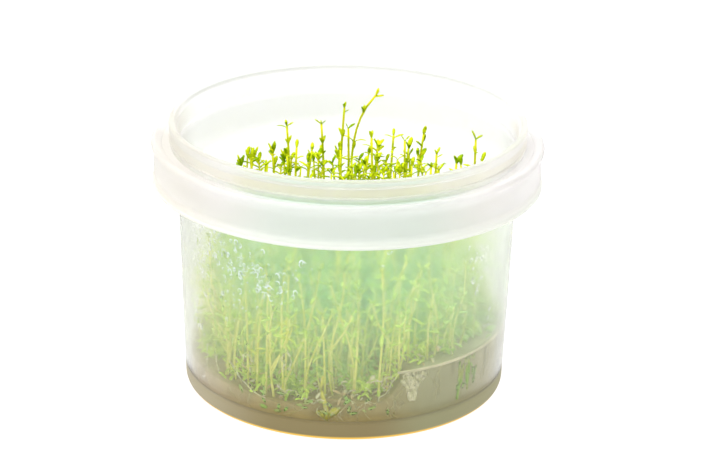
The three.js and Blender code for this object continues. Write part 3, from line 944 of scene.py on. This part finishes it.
def twig_line(line, length, climb, tip):
    """A side twig's line: off the stem at a height in millimetres, out, and then up."""
    base, end = line(climb / length), Vector(tip) * MM
    across = Vector((end.x - base.x, end.y - base.y, 0))

    def twig(share):
        return base.lerp(end, share) + across * 0.16 * math.sin(math.pi * share)
    return twig, (end - base).length / MM


SHOOTS = TALL_SHOOTS + fill_shoots()
print("tall shoots:", len(TALL_SHOOTS), "lower shoots:", len(SHOOTS) - len(TALL_SHOOTS))

# %% [markdown]
# Plant colour
#
# The shoots are a fresh yellow-green. Stems and young tips are nearly yellow, and
# older leaves lower down are a deeper green. In the middle of the culture and at
# its right, where less light comes, the green is painted bluer as painted shade.
# The shoots also glow a little in their own colour, a painted light for light that
# comes through the thin leaves, half as strongly above 56 mm. Height and a fine
# noise in the object's own coordinates change the colour from leaf to leaf.


# %% Plant materials
def plant(name, young, old, deep, shaded):
    s = Shader(name)
    where, x, y, z = s.place()
    patch = s.noise(where, 240.0, 1.0)
    fine = s.noise(where, 1500.0)
    height, foot = z.ramp(0.03, 0.056), z.ramp(0.027, 0.013)
    inner = from_axis(x, y).ramp(0.037, 0.024) + x.ramp(0.018, 0.030) * 0.8
    color = s.layers(old,
                     ((height * 0.9 + patch * 0.3 - 0.12).clamped(), young),
                     (s.noise(where, 110.0, 1.0).ramp(0.58, 0.68) * 0.45, rgb(0.90, 0.84, 0.02)),
                     (patch.ramp(0.46, 0.62) * (height * 0.65 + foot * 0.35 + 0.3), deep),
                     (foot * 0.2, rgb(0.15, 0.28, 0.01)),
                     # painted shade: bluer green in the middle and at the right, below about 50 mm
                     (inner.clamped() * z.ramp(0.050, 0.032) * 0.5, shaded))
    # Painted light: the shoots glow a little in their own colour, half as strongly above 56 mm.
    painted_glow_colour = s.mix(z.ramp(0.045, 0.056, 0.0, 0.5), color, BLACK)
    return s.finish(s.principled(base_color=color, roughness=0.45 + fine * 0.12, specular_ior_level=0.03,
                                 emission_color=painted_glow_colour, emission_strength=0.125,
                                 normal=s.bump(fine, 0.00008, 0.6)))


STEM = plant("shoot stem", rgb(0.80, 0.79, 0.0), rgb(0.98, 0.95, 0.27), rgb(0.60, 0.68, 0.01),
             rgb(0.60, 0.84, 0.38))
LEAF = plant("shoot leaf", rgb(0.60, 0.69, 0.0), rgb(0.66, 0.88, 0.12), rgb(0.22, 0.38, 0.0),
             rgb(0.26, 0.64, 0.28))
print("plant materials:", STEM.name, "and", LEAF.name)

# %% [markdown]
# The main shoots
#
# Each stands on its CAD solid's centre line. A tall one carries its own top leaves
# as the photo shows them, and a lower one carries side twigs where the solid has
# them.


# %% Build the main shoots
def keep_inside(bm):
    """Leaves that would cross the wall lie against it."""
    for vert in bm.verts:
        limit = (inner_wall(vert.co.z / MM) - GAP) * MM
        flat = math.hypot(vert.co.x, vert.co.y)
        if flat > limit:
            vert.co.x *= limit / flat
            vert.co.y *= limit / flat


def build_shoots():
    total = 0
    for number, shoot in enumerate(SHOOTS, start=1):
        bm = bmesh.new()
        draw = dice("main shoot", number)
        rise, top = TOPS[number - 1] if number <= len(TOPS) else (0, ())
        # The top joint lies most of a leaf's length below the solid's tip.
        stop = 1 - (0.8 * LEAF_LENGTH - rise) / shoot.tip[2]
        line, length = shoot_line(shoot, SOCKET_DEPTH, stop)
        grow(bm, line, length, draw, top, opening=shoot.opening, stem_r=0.42 if top else 0.32)
        for climb, tip in shoot.twigs:
            twig, reach = twig_line(line, length, climb, tip)
            grow(bm, twig, reach, draw, opening=36, stem_r=0.3, internode=4.2, first_leaf=2.4, sides=4)
        keep_inside(bm)
        node = f"shoot_{number:02d}"
        piece = to_object(f"leafy_{node}", bm, [STEM, LEAF])
        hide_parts(node)
        total += triangles(piece.data)
    print("main shoots:", len(SHOOTS), "triangles:", total)


build_shoots()

# %% [markdown]
# Side shoots at the mouth
#
# Between the tall shoots a crowd of shorter ones just clears the lip. Each is
# placed by the tip that shows over the lip in the photo, and stands on the gel
# like the others.

# %% Side shoots
SIDE_SHOOTS = [
    (-27.3, -1, 60.6, "tulip"), (-25.6, 1, 62.3, "bud"), (-24.2, 3, 61.2, "tulip"), (-22.8, 5, 59.3, "tuft"),
    (-20.7, 10, 56.8, "wide"), (-18.7, 5, 58.6, "bud"), (-17.1, 6, 57.6, "crowd"), (-16.4, 8, 59.3, "tulip"),
    (-15.6, 4, 61.4, "bud"), (-14.6, 12, 57.5, "crowd"), (-12.0, 6, 57.6, "wide"), (-10.2, 8, 58.4, "arch"),
    (-8.8, 10, 58.0, "bud"), (-7.6, 12, 58.2, "tuft"), (-6.4, 10, 56.6, "crowd"), (-4.1, 2, 57.5, "fork"),
    (-3.9, 10, 57.6, "crowd"), (-2.4, 16, 57.6, "tulip"), (-1.9, 8, 61.8, "bud"), (1.2, 8, 56.8, "crowd"),
    (2.2, 4, 56.6, "arch"), (3.0, 15, 56.6, "crowd"), (3.1, 4, 57.6, "tuft"), (4.4, 8, 58.0, "tuft"),
    (5.4, 6, 61.5, "bud"), (5.6, 2, 56.4, "crowd"), (6.6, 6, 56.2, "crowd"), (7.8, 12, 57.5, "tuft"),
    (8.2, 4, 56.6, "crowd"), (9.4, 3, 57.6, "tuft"), (10.1, 16, 56.0, "crowd"), (10.6, 5, 58.0, "fork"),
    (11.8, 0, 59.0, "fork"), (13.0, 12, 58.0, "wide"), (13.6, 2, 58.6, "tulip"), (16.0, 14, 58.6, "fork"),
    (16.7, 8, 57.8, "arch"), (18.4, 18, 57.0, "bud"), (19.2, 16, 56.0, "crowd"), (20.2, 4, 57.6, "fork"),
    (23.6, 8, 57.8, "wide"), (23.5, 3, 58.6, "fork"), (29.1, 3, 60.2, "bud"), (-0.6, 3, 55.8, "crowd"),
    (7.2, 0, 55.0, "crowd"), (4.6, -2, 54.4, "tuft"), (-9.6, 2, 55.8, "crowd"), (15.2, 4, 55.4, "crowd"),
    (3.0, -34.5, 41.0, "tuft"), (-11.3, -33, 42.0, "bud"), (6.5, -31, 36.0, "wide"), (-20, -30, 38.0, "fork"),
    (14.0, -32, 35.0, "tuft"), (22.0, -29, 38.0, "bud"), (-5.5, -35, 34.0, "fork"), (9.0, -34, 45.0, "bud"),
    (-15.0, -33, 45.5, "fork"), (18.0, -31, 44.0, "wide"), (-25, -27, 44.0, "bud"), (27, -25, 42.0, "fork"),
]
ROOTING_DEPTH = 1.5


def build_side_shoots():
    draw = dice("side shoots")
    bm = bmesh.new()
    for x, y, z, style in SIDE_SHOOTS:
        aside, behind = stray(draw, 2.5)
        shoot = Shoot((x + aside, y + behind), (x, y, z - 2.2), stray(draw, 1.2))
        line, length = shoot_line(shoot, ROOTING_DEPTH)
        grow(bm, line, length, draw, STYLES[style], stem_r=0.33, internode=3.8)
    piece = to_object("side_shoots", bm, [STEM, LEAF])
    print("side shoots:", len(SIDE_SHOOTS), "triangles:", triangles(piece.data))


build_side_shoots()

# %% [markdown]
# The carpet between them
#
# A culture holds several hundred plantlets. Sixteen different ones are grown
# once and set as joined copies, turned and scaled, between the main shoots. They
# stay below the sight line over the front of the lip, where the photo shows none.

# %% Plantlet templates
PLANTLET_KINDS = 16
PLANTLET_HEIGHT = 34


def plantlet_template(number):
    draw = dice("plantlet", number)
    bm = bmesh.new()
    lean = Vector((*stray(draw, 6), 0)) * MM
    bow = Vector((*stray(draw, 3), 0)) * MM

    def line(share):
        return (Vector((0, 0, PLANTLET_HEIGHT * MM * share)) + lean * share ** 2
                + bow * math.sin(math.pi * share) * math.cos(math.pi * share * 0.8))

    grow(bm, line, PLANTLET_HEIGHT, draw, opening=draw.uniform(26, 44), internode=5.6, first_leaf=2.1)
    for _ in range(draw.choice((0, 1, 1, 2))):
        start, away = draw.uniform(0.15, 0.5), draw.uniform(0, 2 * math.pi)
        reach = draw.uniform(0.3, 0.5)
        off = Vector((math.cos(away), math.sin(away), 0)) * 5 * MM

        def branch(share):
            return line(min(1, start + reach * share)) + off * math.sin(share * math.pi / 2)

        grow(bm, branch, PLANTLET_HEIGHT * reach, draw, opening=40, stem_r=0.28, internode=3.4, sides=4)
    return to_mesh(f"plantlet {number}", bm)


PLANTLETS = [plantlet_template(number) for number in range(PLANTLET_KINDS)]
print("plantlet triangles:", [triangles(plantlet) for plantlet in PLANTLETS])


# %% Carpet
CARPET_COUNT = 290
CARPET_REACH = 38.8
TALLEST = 52
SIDES = ("right", "back", "left", "front")


def sight_line(y):
    """Highest a plantlet may reach at a depth y, in millimetres."""
    return 51 - 0.4 * y


def side_of(angle):
    """Name of the quarter of the tub that an angle in radians points to."""
    return SIDES[int((angle + math.pi / 4) % (2 * math.pi) // (math.pi / 2)) % len(SIDES)]


def build_carpet():
    draw = dice("carpet")
    sectors = {side: bmesh.new() for side in SIDES}
    for i in range(CARPET_COUNT):
        x, y, angle = sunflower(i, CARPET_COUNT, CARPET_REACH, draw.uniform(-0.25, 0.25),
                                draw.uniform(0.95, 1.0))
        foot = gel_top(x, y) - ROOTING_DEPTH
        top = min(TALLEST, sight_line(y)) * draw.uniform(0.62, 0.97)
        tall = (top - foot) / (PLANTLET_HEIGHT + 2)
        wide = min(1.1, max(0.85, tall))
        lay(sectors[side_of(angle)], PLANTLETS[i % PLANTLET_KINDS],
            Matrix.Translation(Vector((x, y, foot)) * MM)
            @ Matrix.Rotation(draw.uniform(0, ANY_ANGLE), 4, "Z") @ Matrix.Diagonal((wide, wide, tall, 1)))
    for side, bm in sectors.items():
        keep_inside(bm)
        piece = to_object(f"carpet_{side}", bm, [STEM, LEAF])
        print(piece.name, "triangles:", triangles(piece.data))


build_carpet()

# %% [markdown]
# Leaves at the foot of the carpet
#
# Down on the gel the culture is thick with short, broad leaves, which hide the
# gel between the stems. Six small rosettes are made once and laid all over it,
# except where the short shoot sank.

# %% Low leaves
ROSETTE_KINDS = 6
ROSETTE_LEAVES = 20
ROSETTE_COUNT = 180
ROSETTE_REACH = 37.5
ROSETTE_CLEAR = 4.5


def rosette_template(number):
    draw = dice("rosette", number)
    bm = bmesh.new()
    for _ in range(ROSETTE_LEAVES):
        around, away = draw.uniform(0, 2 * math.pi), draw.uniform(0, 4.2)
        height = draw.uniform(-0.2, 4.5) * draw.random()
        base = Vector((away * math.cos(around), away * math.sin(around), height)) * MM
        kind = draw.choice((BROAD, BROAD, BENT, CURLED))
        set_leaf(bm, base, Vector((0, 0, 1)), draw.uniform(0, ANY_ANGLE), math.radians(draw.uniform(10, 75)),
                 draw.uniform(1.9, 3.2) * MM, kind)
    return to_mesh(f"rosette {number}", bm)


def build_low_leaves():
    draw = dice("low leaves")
    rosettes = [rosette_template(number) for number in range(ROSETTE_KINDS)]
    bm = bmesh.new()
    for i in range(ROSETTE_COUNT):
        x, y, _ = sunflower(i, ROSETTE_COUNT, ROSETTE_REACH, draw.uniform(-0.1, 0.1))
        if math.dist(POCKET, (x, y)) >= ROSETTE_CLEAR:
            lay(bm, rosettes[i % ROSETTE_KINDS], Matrix.Translation(Vector((x, y, gel_top(x, y))) * MM)
                @ Matrix.Rotation(draw.uniform(0, ANY_ANGLE), 4, "Z"))
    keep_inside(bm)
    piece = to_object("low_leaves", bm, [STEM, LEAF])
    print("low leaves triangles:", triangles(piece.data))


build_low_leaves()

# %% [markdown]
# Dull plant colours
#
# The shoot that sank, the roots and the bits lying about are duller than the
# living shoots: brown-green in the gel, beige to orange where they died. The torn
# skin of the gel is pale, with a darker line where its top meets the wall. The
# sunken shoot, the green bits and the torn skin glow a little in their own colour:
# painted light against the shade they lie in between the gel and the wall.


# %% Dull plant materials
# The last argument is a glow in the material's own colour: painted light for pieces that lie in shade.
def dull(name, pale, dark, scale, painted_glow=0.0):
    s = Shader(name)
    patch = s.noise(s.place()[0], scale)
    color = s.mix(patch.ramp(0.4, 0.62), pale, dark)
    return s.finish(s.principled(base_color=color, roughness=0.5, specular_ior_level=0.3,
                                 emission_color=color, emission_strength=painted_glow))


# The sunken shoot, the green bits and the torn skin get a painted glow against the shade they lie in.
SUNK = dull("sunken shoot", rgb(0.68, 0.64, 0.06), rgb(0.50, 0.52, 0.04), 200.0, 0.08)
ROOT = dull("roots", rgb(0.74, 0.68, 0.38), rgb(0.55, 0.50, 0.20), 300.0)
GREEN = dull("sunk green bits", rgb(0.36, 0.40, 0.10), rgb(0.24, 0.42, 0.05), 300.0, 0.14)
DEAD_LEAF = dull("dead leaves", rgb(0.84, 0.80, 0.54), rgb(0.72, 0.52, 0.24), 420.0)
SKIN = dull("torn gel skin", rgb(0.84, 0.79, 0.52), rgb(0.62, 0.60, 0.30), 700.0, 0.1)
WATERLINE = dull("gel waterline", rgb(0.84, 0.76, 0.52), rgb(0.66, 0.60, 0.36), 200.0)
print("dull materials:", [material.name for material in (SUNK, ROOT, GREEN, DEAD_LEAF, SKIN, WATERLINE)])

# %% [markdown]
# The shoot that sank
#
# One short shoot stands upright against the front wall, half in the gel, with a
# broad pair of leaves at its foot. It follows its CAD solid, with rounder leaves
# that lie flat to the wall.

# %% Sunken shoot
SUNK_FOOT = Vector((-4.2, -38, 4.2)) * MM
SUNK_TOP = Vector((-5.4, -37.6, 16.5)) * MM
SUNK_RADII = [0.55 * MM, 0.62 * MM, 0.56 * MM, 0.5 * MM, 0.4 * MM, 0.3 * MM]
SUNK_LEAVES = [((0.68, 0.10, 0.72), 5.0), ((-0.60, 0.10, 0.64), 3.6)]


def build_sunken_shoot():
    bm = bmesh.new()
    points = [SUNK_FOOT.lerp(SUNK_TOP, i / 5) + Vector((0.0004 * math.sin(i * 1.4), 0, 0)) for i in range(6)]
    sweep(bm, points, SUNK_RADII, 6)
    for aim, length in SUNK_LEAVES:
        up = Vector(aim).normalized()
        across = Vector((0, 1, 0)).cross(up).normalized()
        turn = Matrix((across, up.cross(across), up)).transposed()
        lay(bm, LEAVES[BROAD], sized(SUNK_FOOT.lerp(SUNK_TOP, 0.06), turn * length, MM))
    piece = to_object("leafy_sunken_shoot", bm, [SUNK, SUNK])
    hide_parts("sunken_shoot")
    print("sunken shoot triangles:", triangles(piece.data))


build_sunken_shoot()

# %% [markdown]
# Roots and dead bits
#
# Pale roots run down between the gel and the wall, with a few green bits of shoot
# at the right. Old leaves that died lie in the torn part of the gel, beige to
# orange, and loose green leaves stick to the wall and the gel. A ragged pale skin
# marks where the gel tore and where its top meets the wall. All of them are thin
# threads pulled along a wandering line, or leaf blades laid at random.


# %% Places on the wall
def on_wall(angle, z, inset=0.16):
    """A point on the inside of the wall: degrees from the front, + to the right."""
    turn = math.radians(angle)
    r = inner_wall(z) - inset
    return Vector((r * math.sin(turn), -r * math.cos(turn), z)) * MM


def flat_on_wall(angle, z, inset, lean, size):
    """A place for a flat thing on the wall: lean in radians, size as width, thickness, height in metres."""
    return (Matrix.Translation(on_wall(angle, z, inset)) @ Matrix.Rotation(math.radians(angle), 4, "Z")
            @ Matrix.Rotation(lean, 4, "Y") @ Matrix.Diagonal((*size, 1)))


# %% Roots
ROOT_COUNT = 44
ROOT_STEPS = 7
GREEN_BITS = 6


def add_root(bm, draw):
    angle, side = draw.uniform(-78, 78), draw.uniform(-6, 6)
    top = gel_top(*(on_wall(angle, 12).xy / MM)) - draw.uniform(0, 1.5)
    low = max(2.6, top - draw.uniform(2.5, 9))
    sway = draw.uniform(0, ANY_ANGLE)
    points = [on_wall(angle + side * i / ROOT_STEPS + 1.2 * math.sin(sway + i * 0.9),
                      top + (low - top) * i / ROOT_STEPS) for i in range(ROOT_STEPS + 1)]
    thick = draw.uniform(0.05, 0.09)
    sweep(bm, points, [thick * MM] * len(points), 4)


def add_green_bit(bm, draw):
    angle, top, thick = draw.uniform(44, 53), draw.uniform(13, 17.5), draw.uniform(0.25, 0.42)
    slant = draw.uniform(-0.3, 0.3)
    points = [on_wall(angle + slant * i, top - i * 1.3, 0.22) for i in range(draw.randrange(4, 9))]
    sweep(bm, points, [thick * MM] * len(points), 5, 1)


def build_roots():
    draw = dice("roots")
    bm = bmesh.new()
    for _ in range(ROOT_COUNT):
        add_root(bm, draw)
    for _ in range(GREEN_BITS):
        add_green_bit(bm, draw)
    piece = to_object("roots", bm, [ROOT, GREEN])
    print("roots triangles:", triangles(piece.data))


build_roots()


# %% Dead leaves
DEAD_COUNT = 130
LEFT_LEAVES = 34
RIGHT_LEAVES = 22
FRONT_LEAVES = 32


def add_dead_leaf(bm, draw):
    """One beige leaf, fallen at any slope on the front of the gel."""
    angle = math.radians(draw.gauss(-8, 30))
    radius = draw.uniform(30, 38.4)
    x, y = radius * math.sin(angle), -radius * math.cos(angle)
    z = gel_top(x, y) + draw.uniform(0.3, 5.0) * draw.random()
    kind = draw.choice((STRAIGHT, BENT, CURLED))
    turn = Matrix.Rotation(draw.uniform(0, ANY_ANGLE), 3, "Z")
    turn = turn @ Matrix.Rotation(draw.uniform(0.6, 2.4), 3, "X")
    lay(bm, LEAVES[kind], sized(Vector((x, y, z)) * MM, turn, draw.uniform(1.4, 3.4) * MM), 0)


def add_green_leaf(bm, draw, number):
    """One leaf flat on the wall: first those at the left, then low at the right, then in front."""
    in_gel, in_front = number >= LEFT_LEAVES, number >= LEFT_LEAVES + RIGHT_LEAVES
    angle, z = draw.uniform(-72, -34), draw.uniform(14, 46)
    if in_gel:
        angle, z = draw.uniform(44, 54), draw.uniform(9, 17)
    if in_front:
        angle, z = draw.gauss(-12, 17), draw.uniform(6.5, 12)
    size = draw.uniform(1.2, 2.6) * MM
    lean = draw.uniform(-0.7, 0.7) * (3 if in_front else 1)
    lay(bm, LEAVES[BROAD], flat_on_wall(angle, z, 0.13, lean, (size, 0.05 * size, size)), 1 if in_gel else 2)


def build_dead_leaves():
    draw = dice("dead leaves")
    bm = bmesh.new()
    for _ in range(DEAD_COUNT):
        add_dead_leaf(bm, draw)
    keep_inside(bm)
    for number in range(LEFT_LEAVES + RIGHT_LEAVES + FRONT_LEAVES):
        add_green_leaf(bm, draw, number)
    piece = to_object("dead_leaves", bm, [DEAD_LEAF, GREEN, LEAF])
    print("dead leaves triangles:", triangles(piece.data))


build_dead_leaves()


# %% Torn skin and waterline
TEARS = [
    [(-45, 16.5), (-42, 14.6), (-39, 12.6), (-35, 10.8), (-31, 9.6), (-26, 9.0)],
    [(3, 11.0), (5, 9.2), (8, 10.8), (11, 9.6), (13, 11.8), (15, 12.6), (17, 15.4), (20, 18.2)],
    [(22, 17.8), (21, 15.6), (23.5, 15.0), (22.5, 13.0), (25, 12.4)],
    [(27, 17.6), (25.5, 15.8), (27.5, 14.2), (26, 12.8)],
    [(-24, 13.6), (-21, 12.2), (-19, 13.2), (-17, 11.6)],
    [(-14, 11.2), (-10, 9.8), (-8, 11.4), (-5, 10.4)],
    [(-58, 18), (-57.5, 15), (-58.5, 12), (-57, 9.5)],
    [(-52, 18.5), (-52.5, 15), (-51, 12), (-51.5, 10)],
    [(-21, 23), (-22.5, 21.5), (-20, 20), (-22, 18.5), (-20.5, 17.5)],
    [(-20, 23), (-18.5, 21), (-19.5, 19), (-18, 17.5)],
    [(-40, 20.5), (-38, 19), (-36, 20), (-34, 18.5), (-33, 19.5)],
    [(10, 17), (13, 16), (16, 17.5), (18, 16.5)],
]
STRANDS = 3
FLAKE_BLADES = 26
WATERLINES = (18.35, 18.0)


def add_strand(bm, draw, tear, ragged):
    """A thread along a tear, shaken sideways by more where it is more ragged."""
    points = []
    for a, b in zip(tear, tear[1:]):
        for share in (0, 0.5):
            angle, z = a[0] + (b[0] - a[0]) * share, a[1] + (b[1] - a[1]) * share
            points.append(on_wall(angle + draw.uniform(-0.5, 0.5) * ragged,
                                  z + draw.uniform(-0.4, 0.4) * ragged, 0.2))
    sweep(bm, points, [draw.uniform(0.05, 0.11) * MM for _ in points], 4)


def add_flake_blade(bm, draw):
    """One blade of the crumpled flake at the step, which is wider higher up."""
    z = draw.uniform(9.5, 16.6)
    angle = 25.2 + draw.uniform(-0.42, 0.42) * (z - 7)
    size = draw.uniform(1.8, 3.4) * MM
    lean = draw.uniform(-0.8, 0.8)
    lay(bm, LEAVES[STRAIGHT], flat_on_wall(angle, z, 0.25, lean, (size, 0.5 * size, size)), 0)


def build_skin():
    draw = dice("skin")
    bm = bmesh.new()
    for tear in TEARS:
        for strand in range(STRANDS):
            add_strand(bm, draw, tear, strand + 0.4)
    for _ in range(FLAKE_BLADES):
        add_flake_blade(bm, draw)
    keep_inside(bm)
    for z in WATERLINES:
        line = [on_wall(angle, z, 0.24) for angle in range(19, 122, 3)]
        sweep(bm, line, [0.2 * MM] * len(line), 5, 1)
    piece = to_object("torn_skin", bm, [SKIN, WATERLINE])
    print("torn skin triangles:", triangles(piece.data))


build_skin()

# %% [markdown]
# Droplets
#
# Breath from the plants has condensed on the wall. Where the fog ran together it
# stands in small round drops: a dense field at the upper left, a few chains
# further in, and some single ones on the right. Each is a flattened ball just
# inside the wall, in plain water, with a thread round part of its rim that glows
# white: a painted highlight.


# %% Droplet materials
def water():
    s = Shader("condensed water")
    return s.finish(s.principled(base_color=WHITE, roughness=0.02, ior=1.15, transmission_weight=1.0))


def painted_rim_highlight():
    """A painted highlight for the rim of a drop: a white glow for the studio's white that the drop reflects.
    """
    s = Shader("painted highlight on a drop rim")
    return s.finish(s.principled(base_color=rgb(0.97, 0.98, 0.96), roughness=0.2,
                                 emission_color=rgb(1, 1, 0.97), emission_strength=0.4))


DROP_MATERIALS = [water(), painted_rim_highlight()]
print("drop materials:", [material.name for material in DROP_MATERIALS])


# %% Droplets
# Each field is an angle in degrees and a height in millimetres, the spread of both, and a count.
FIELDS = [(-54, 47, 12, 4, 130), (-67, 43, 6, 5, 150), (-37, 42, 6, 3, 48), (-25, 40, 4, 2, 40),
          (-43, 34, 5, 4, 18), (53, 43, 3.5, 3, 34), (13, 50, 3, 1, 4), (-12, 48, 2.5, 1.5, 5),
          (62, 34, 5, 6, 12), (-64, 25, 6, 8, 30)]
HIGHEST_DROP = 54
DROP_THICK = 0.14
RIM_KINDS = 6
RIM_RADII = [0.08, 0.15, 0.2, 0.22, 0.22, 0.18, 0.13, 0.07]


def drop_template():
    bm = bmesh.new()
    bmesh.ops.create_uvsphere(bm, u_segments=8, v_segments=5, radius=1)
    return to_mesh("droplet", bm)


def rim_template(number):
    """A thin thread bent to an open ring, facing the front, that carries the painted highlight on a drop's
    edge.
    """
    draw = dice("drop rim", number)
    start, turn = draw.uniform(0, ANY_ANGLE), draw.uniform(2.4, 5.2)
    angles = [start + turn * i / 7 for i in range(8)]
    bm = bmesh.new()
    sweep(bm, [Vector((math.cos(angle), -0.5, math.sin(angle))) for angle in angles], RIM_RADII, 4)
    return to_mesh(f"drop rim {number}", bm)


def build_droplets():
    draw = dice("droplets")
    bm = bmesh.new()
    ball, rims = drop_template(), [rim_template(number) for number in range(RIM_KINDS)]
    for angle, z, spread, height, count in FIELDS:
        for n in range(count):
            a, h = draw.gauss(angle, spread), min(HIGHEST_DROP, draw.gauss(z, height))
            size = draw.uniform(0.18, 0.42) if draw.random() < 0.85 else draw.uniform(0.45, 0.7)
            tall = draw.uniform(0.9, 1.5)
            place = flat_on_wall(a, h, 0.25, 0, (size * MM, DROP_THICK * MM, size * tall * MM))
            for material_index, template in enumerate((ball, rims[n % RIM_KINDS])):
                lay(bm, template, place, material_index)
    piece = to_object("droplets", bm, DROP_MATERIALS)
    print("droplets triangles:", triangles(piece.data))


build_droplets()

# %% [markdown]
# Studio
#
# The photo is a high-key cut-out: a white ground and soft light from everywhere.
# A white world gives that, with one broad lamp from the upper left so that the
# leaves have a lit side. The floor is plain and glows nearly white.


# %% Floor and light
FLOOR_SIZE = 6
FLOOR_GLOW = 0.95
WORLD_STRENGTH = 1.07
LAMP_PLACE = (-0.3, -0.2, 1.0)
LAMP_TARGET = Vector((0, 0, 0.03))
LAMP_SIZE = 0.8
LAMP_WATTS = 9


def build_floor():
    s = Shader("white floor")
    s.finish(s.principled(base_color=rgb(0.15, 0.15, 0.15), roughness=0.9, emission_color=WHITE,
                          emission_strength=FLOOR_GLOW))
    bm = bmesh.new()
    bmesh.ops.create_grid(bm, x_segments=1, y_segments=1, size=FLOOR_SIZE)
    mesh = to_mesh("floor", bm)
    mesh.materials.append(s.material)
    floor = bpy.data.objects.new("floor", mesh)
    bpy.context.scene.collection.objects.link(floor)


def build_world():
    world = bpy.data.worlds.new("white studio")
    world.use_nodes = True
    background = world.node_tree.nodes["Background"].inputs
    background["Color"].default_value = WHITE
    background["Strength"].default_value = WORLD_STRENGTH
    bpy.context.scene.world = world
    bpy.context.scene.view_settings.view_transform = "Standard"


def build_lamp():
    lamp = bpy.data.lights.new("softbox", "AREA")
    lamp.shape, lamp.size, lamp.energy = "DISK", LAMP_SIZE, LAMP_WATTS
    softbox = bpy.data.objects.new("softbox", lamp)
    softbox.location = LAMP_PLACE
    softbox.rotation_euler = (LAMP_TARGET - softbox.location).to_track_quat("-Z", "Y").to_euler()
    bpy.context.scene.collection.objects.link(softbox)


build_floor()
build_world()
build_lamp()
print("world strength:", WORLD_STRENGTH, "lamp watts:", LAMP_WATTS)

# %% [markdown]
# Camera
#
# The lens, distance, height and slight roll were worked out from the tub's
# circles in the photo, so that lip, flange and foot land where they are there.

# %% Camera
SENSOR = 36.0
IMAGE = (709, 461)
FOCAL_PX = 2683
DISTANCE = 0.6936
ELEVATION = 21.99
ROLL = 1.028
AIM = Vector((0, 0, 35.47)) * MM
AIM_PX = (345.98, 248.54)


def build_camera():
    data = bpy.data.cameras.new("camera")
    data.sensor_width = SENSOR
    data.lens = FOCAL_PX / IMAGE[0] * SENSOR
    data.shift_x = (IMAGE[0] / 2 - AIM_PX[0]) / IMAGE[0]
    data.shift_y = (AIM_PX[1] - IMAGE[1] / 2) / IMAGE[0]
    data.clip_start = 0.01
    camera = bpy.data.objects.new("camera", data)
    tilt = math.radians(ELEVATION)
    camera.location = AIM + DISTANCE * Vector((0, -math.cos(tilt), math.sin(tilt)))
    aim = (AIM - camera.location).to_track_quat("-Z", "Y")
    camera.rotation_mode = "QUATERNION"
    camera.rotation_quaternion = aim @ Matrix.Rotation(math.radians(ROLL), 3, "Z").to_quaternion()
    bpy.context.scene.collection.objects.link(camera)
    bpy.context.scene.camera = camera


build_camera()
print("lens in mm:", round(bpy.context.scene.camera.data.lens, 1))

# %% Update the scene
bpy.context.view_layer.update()
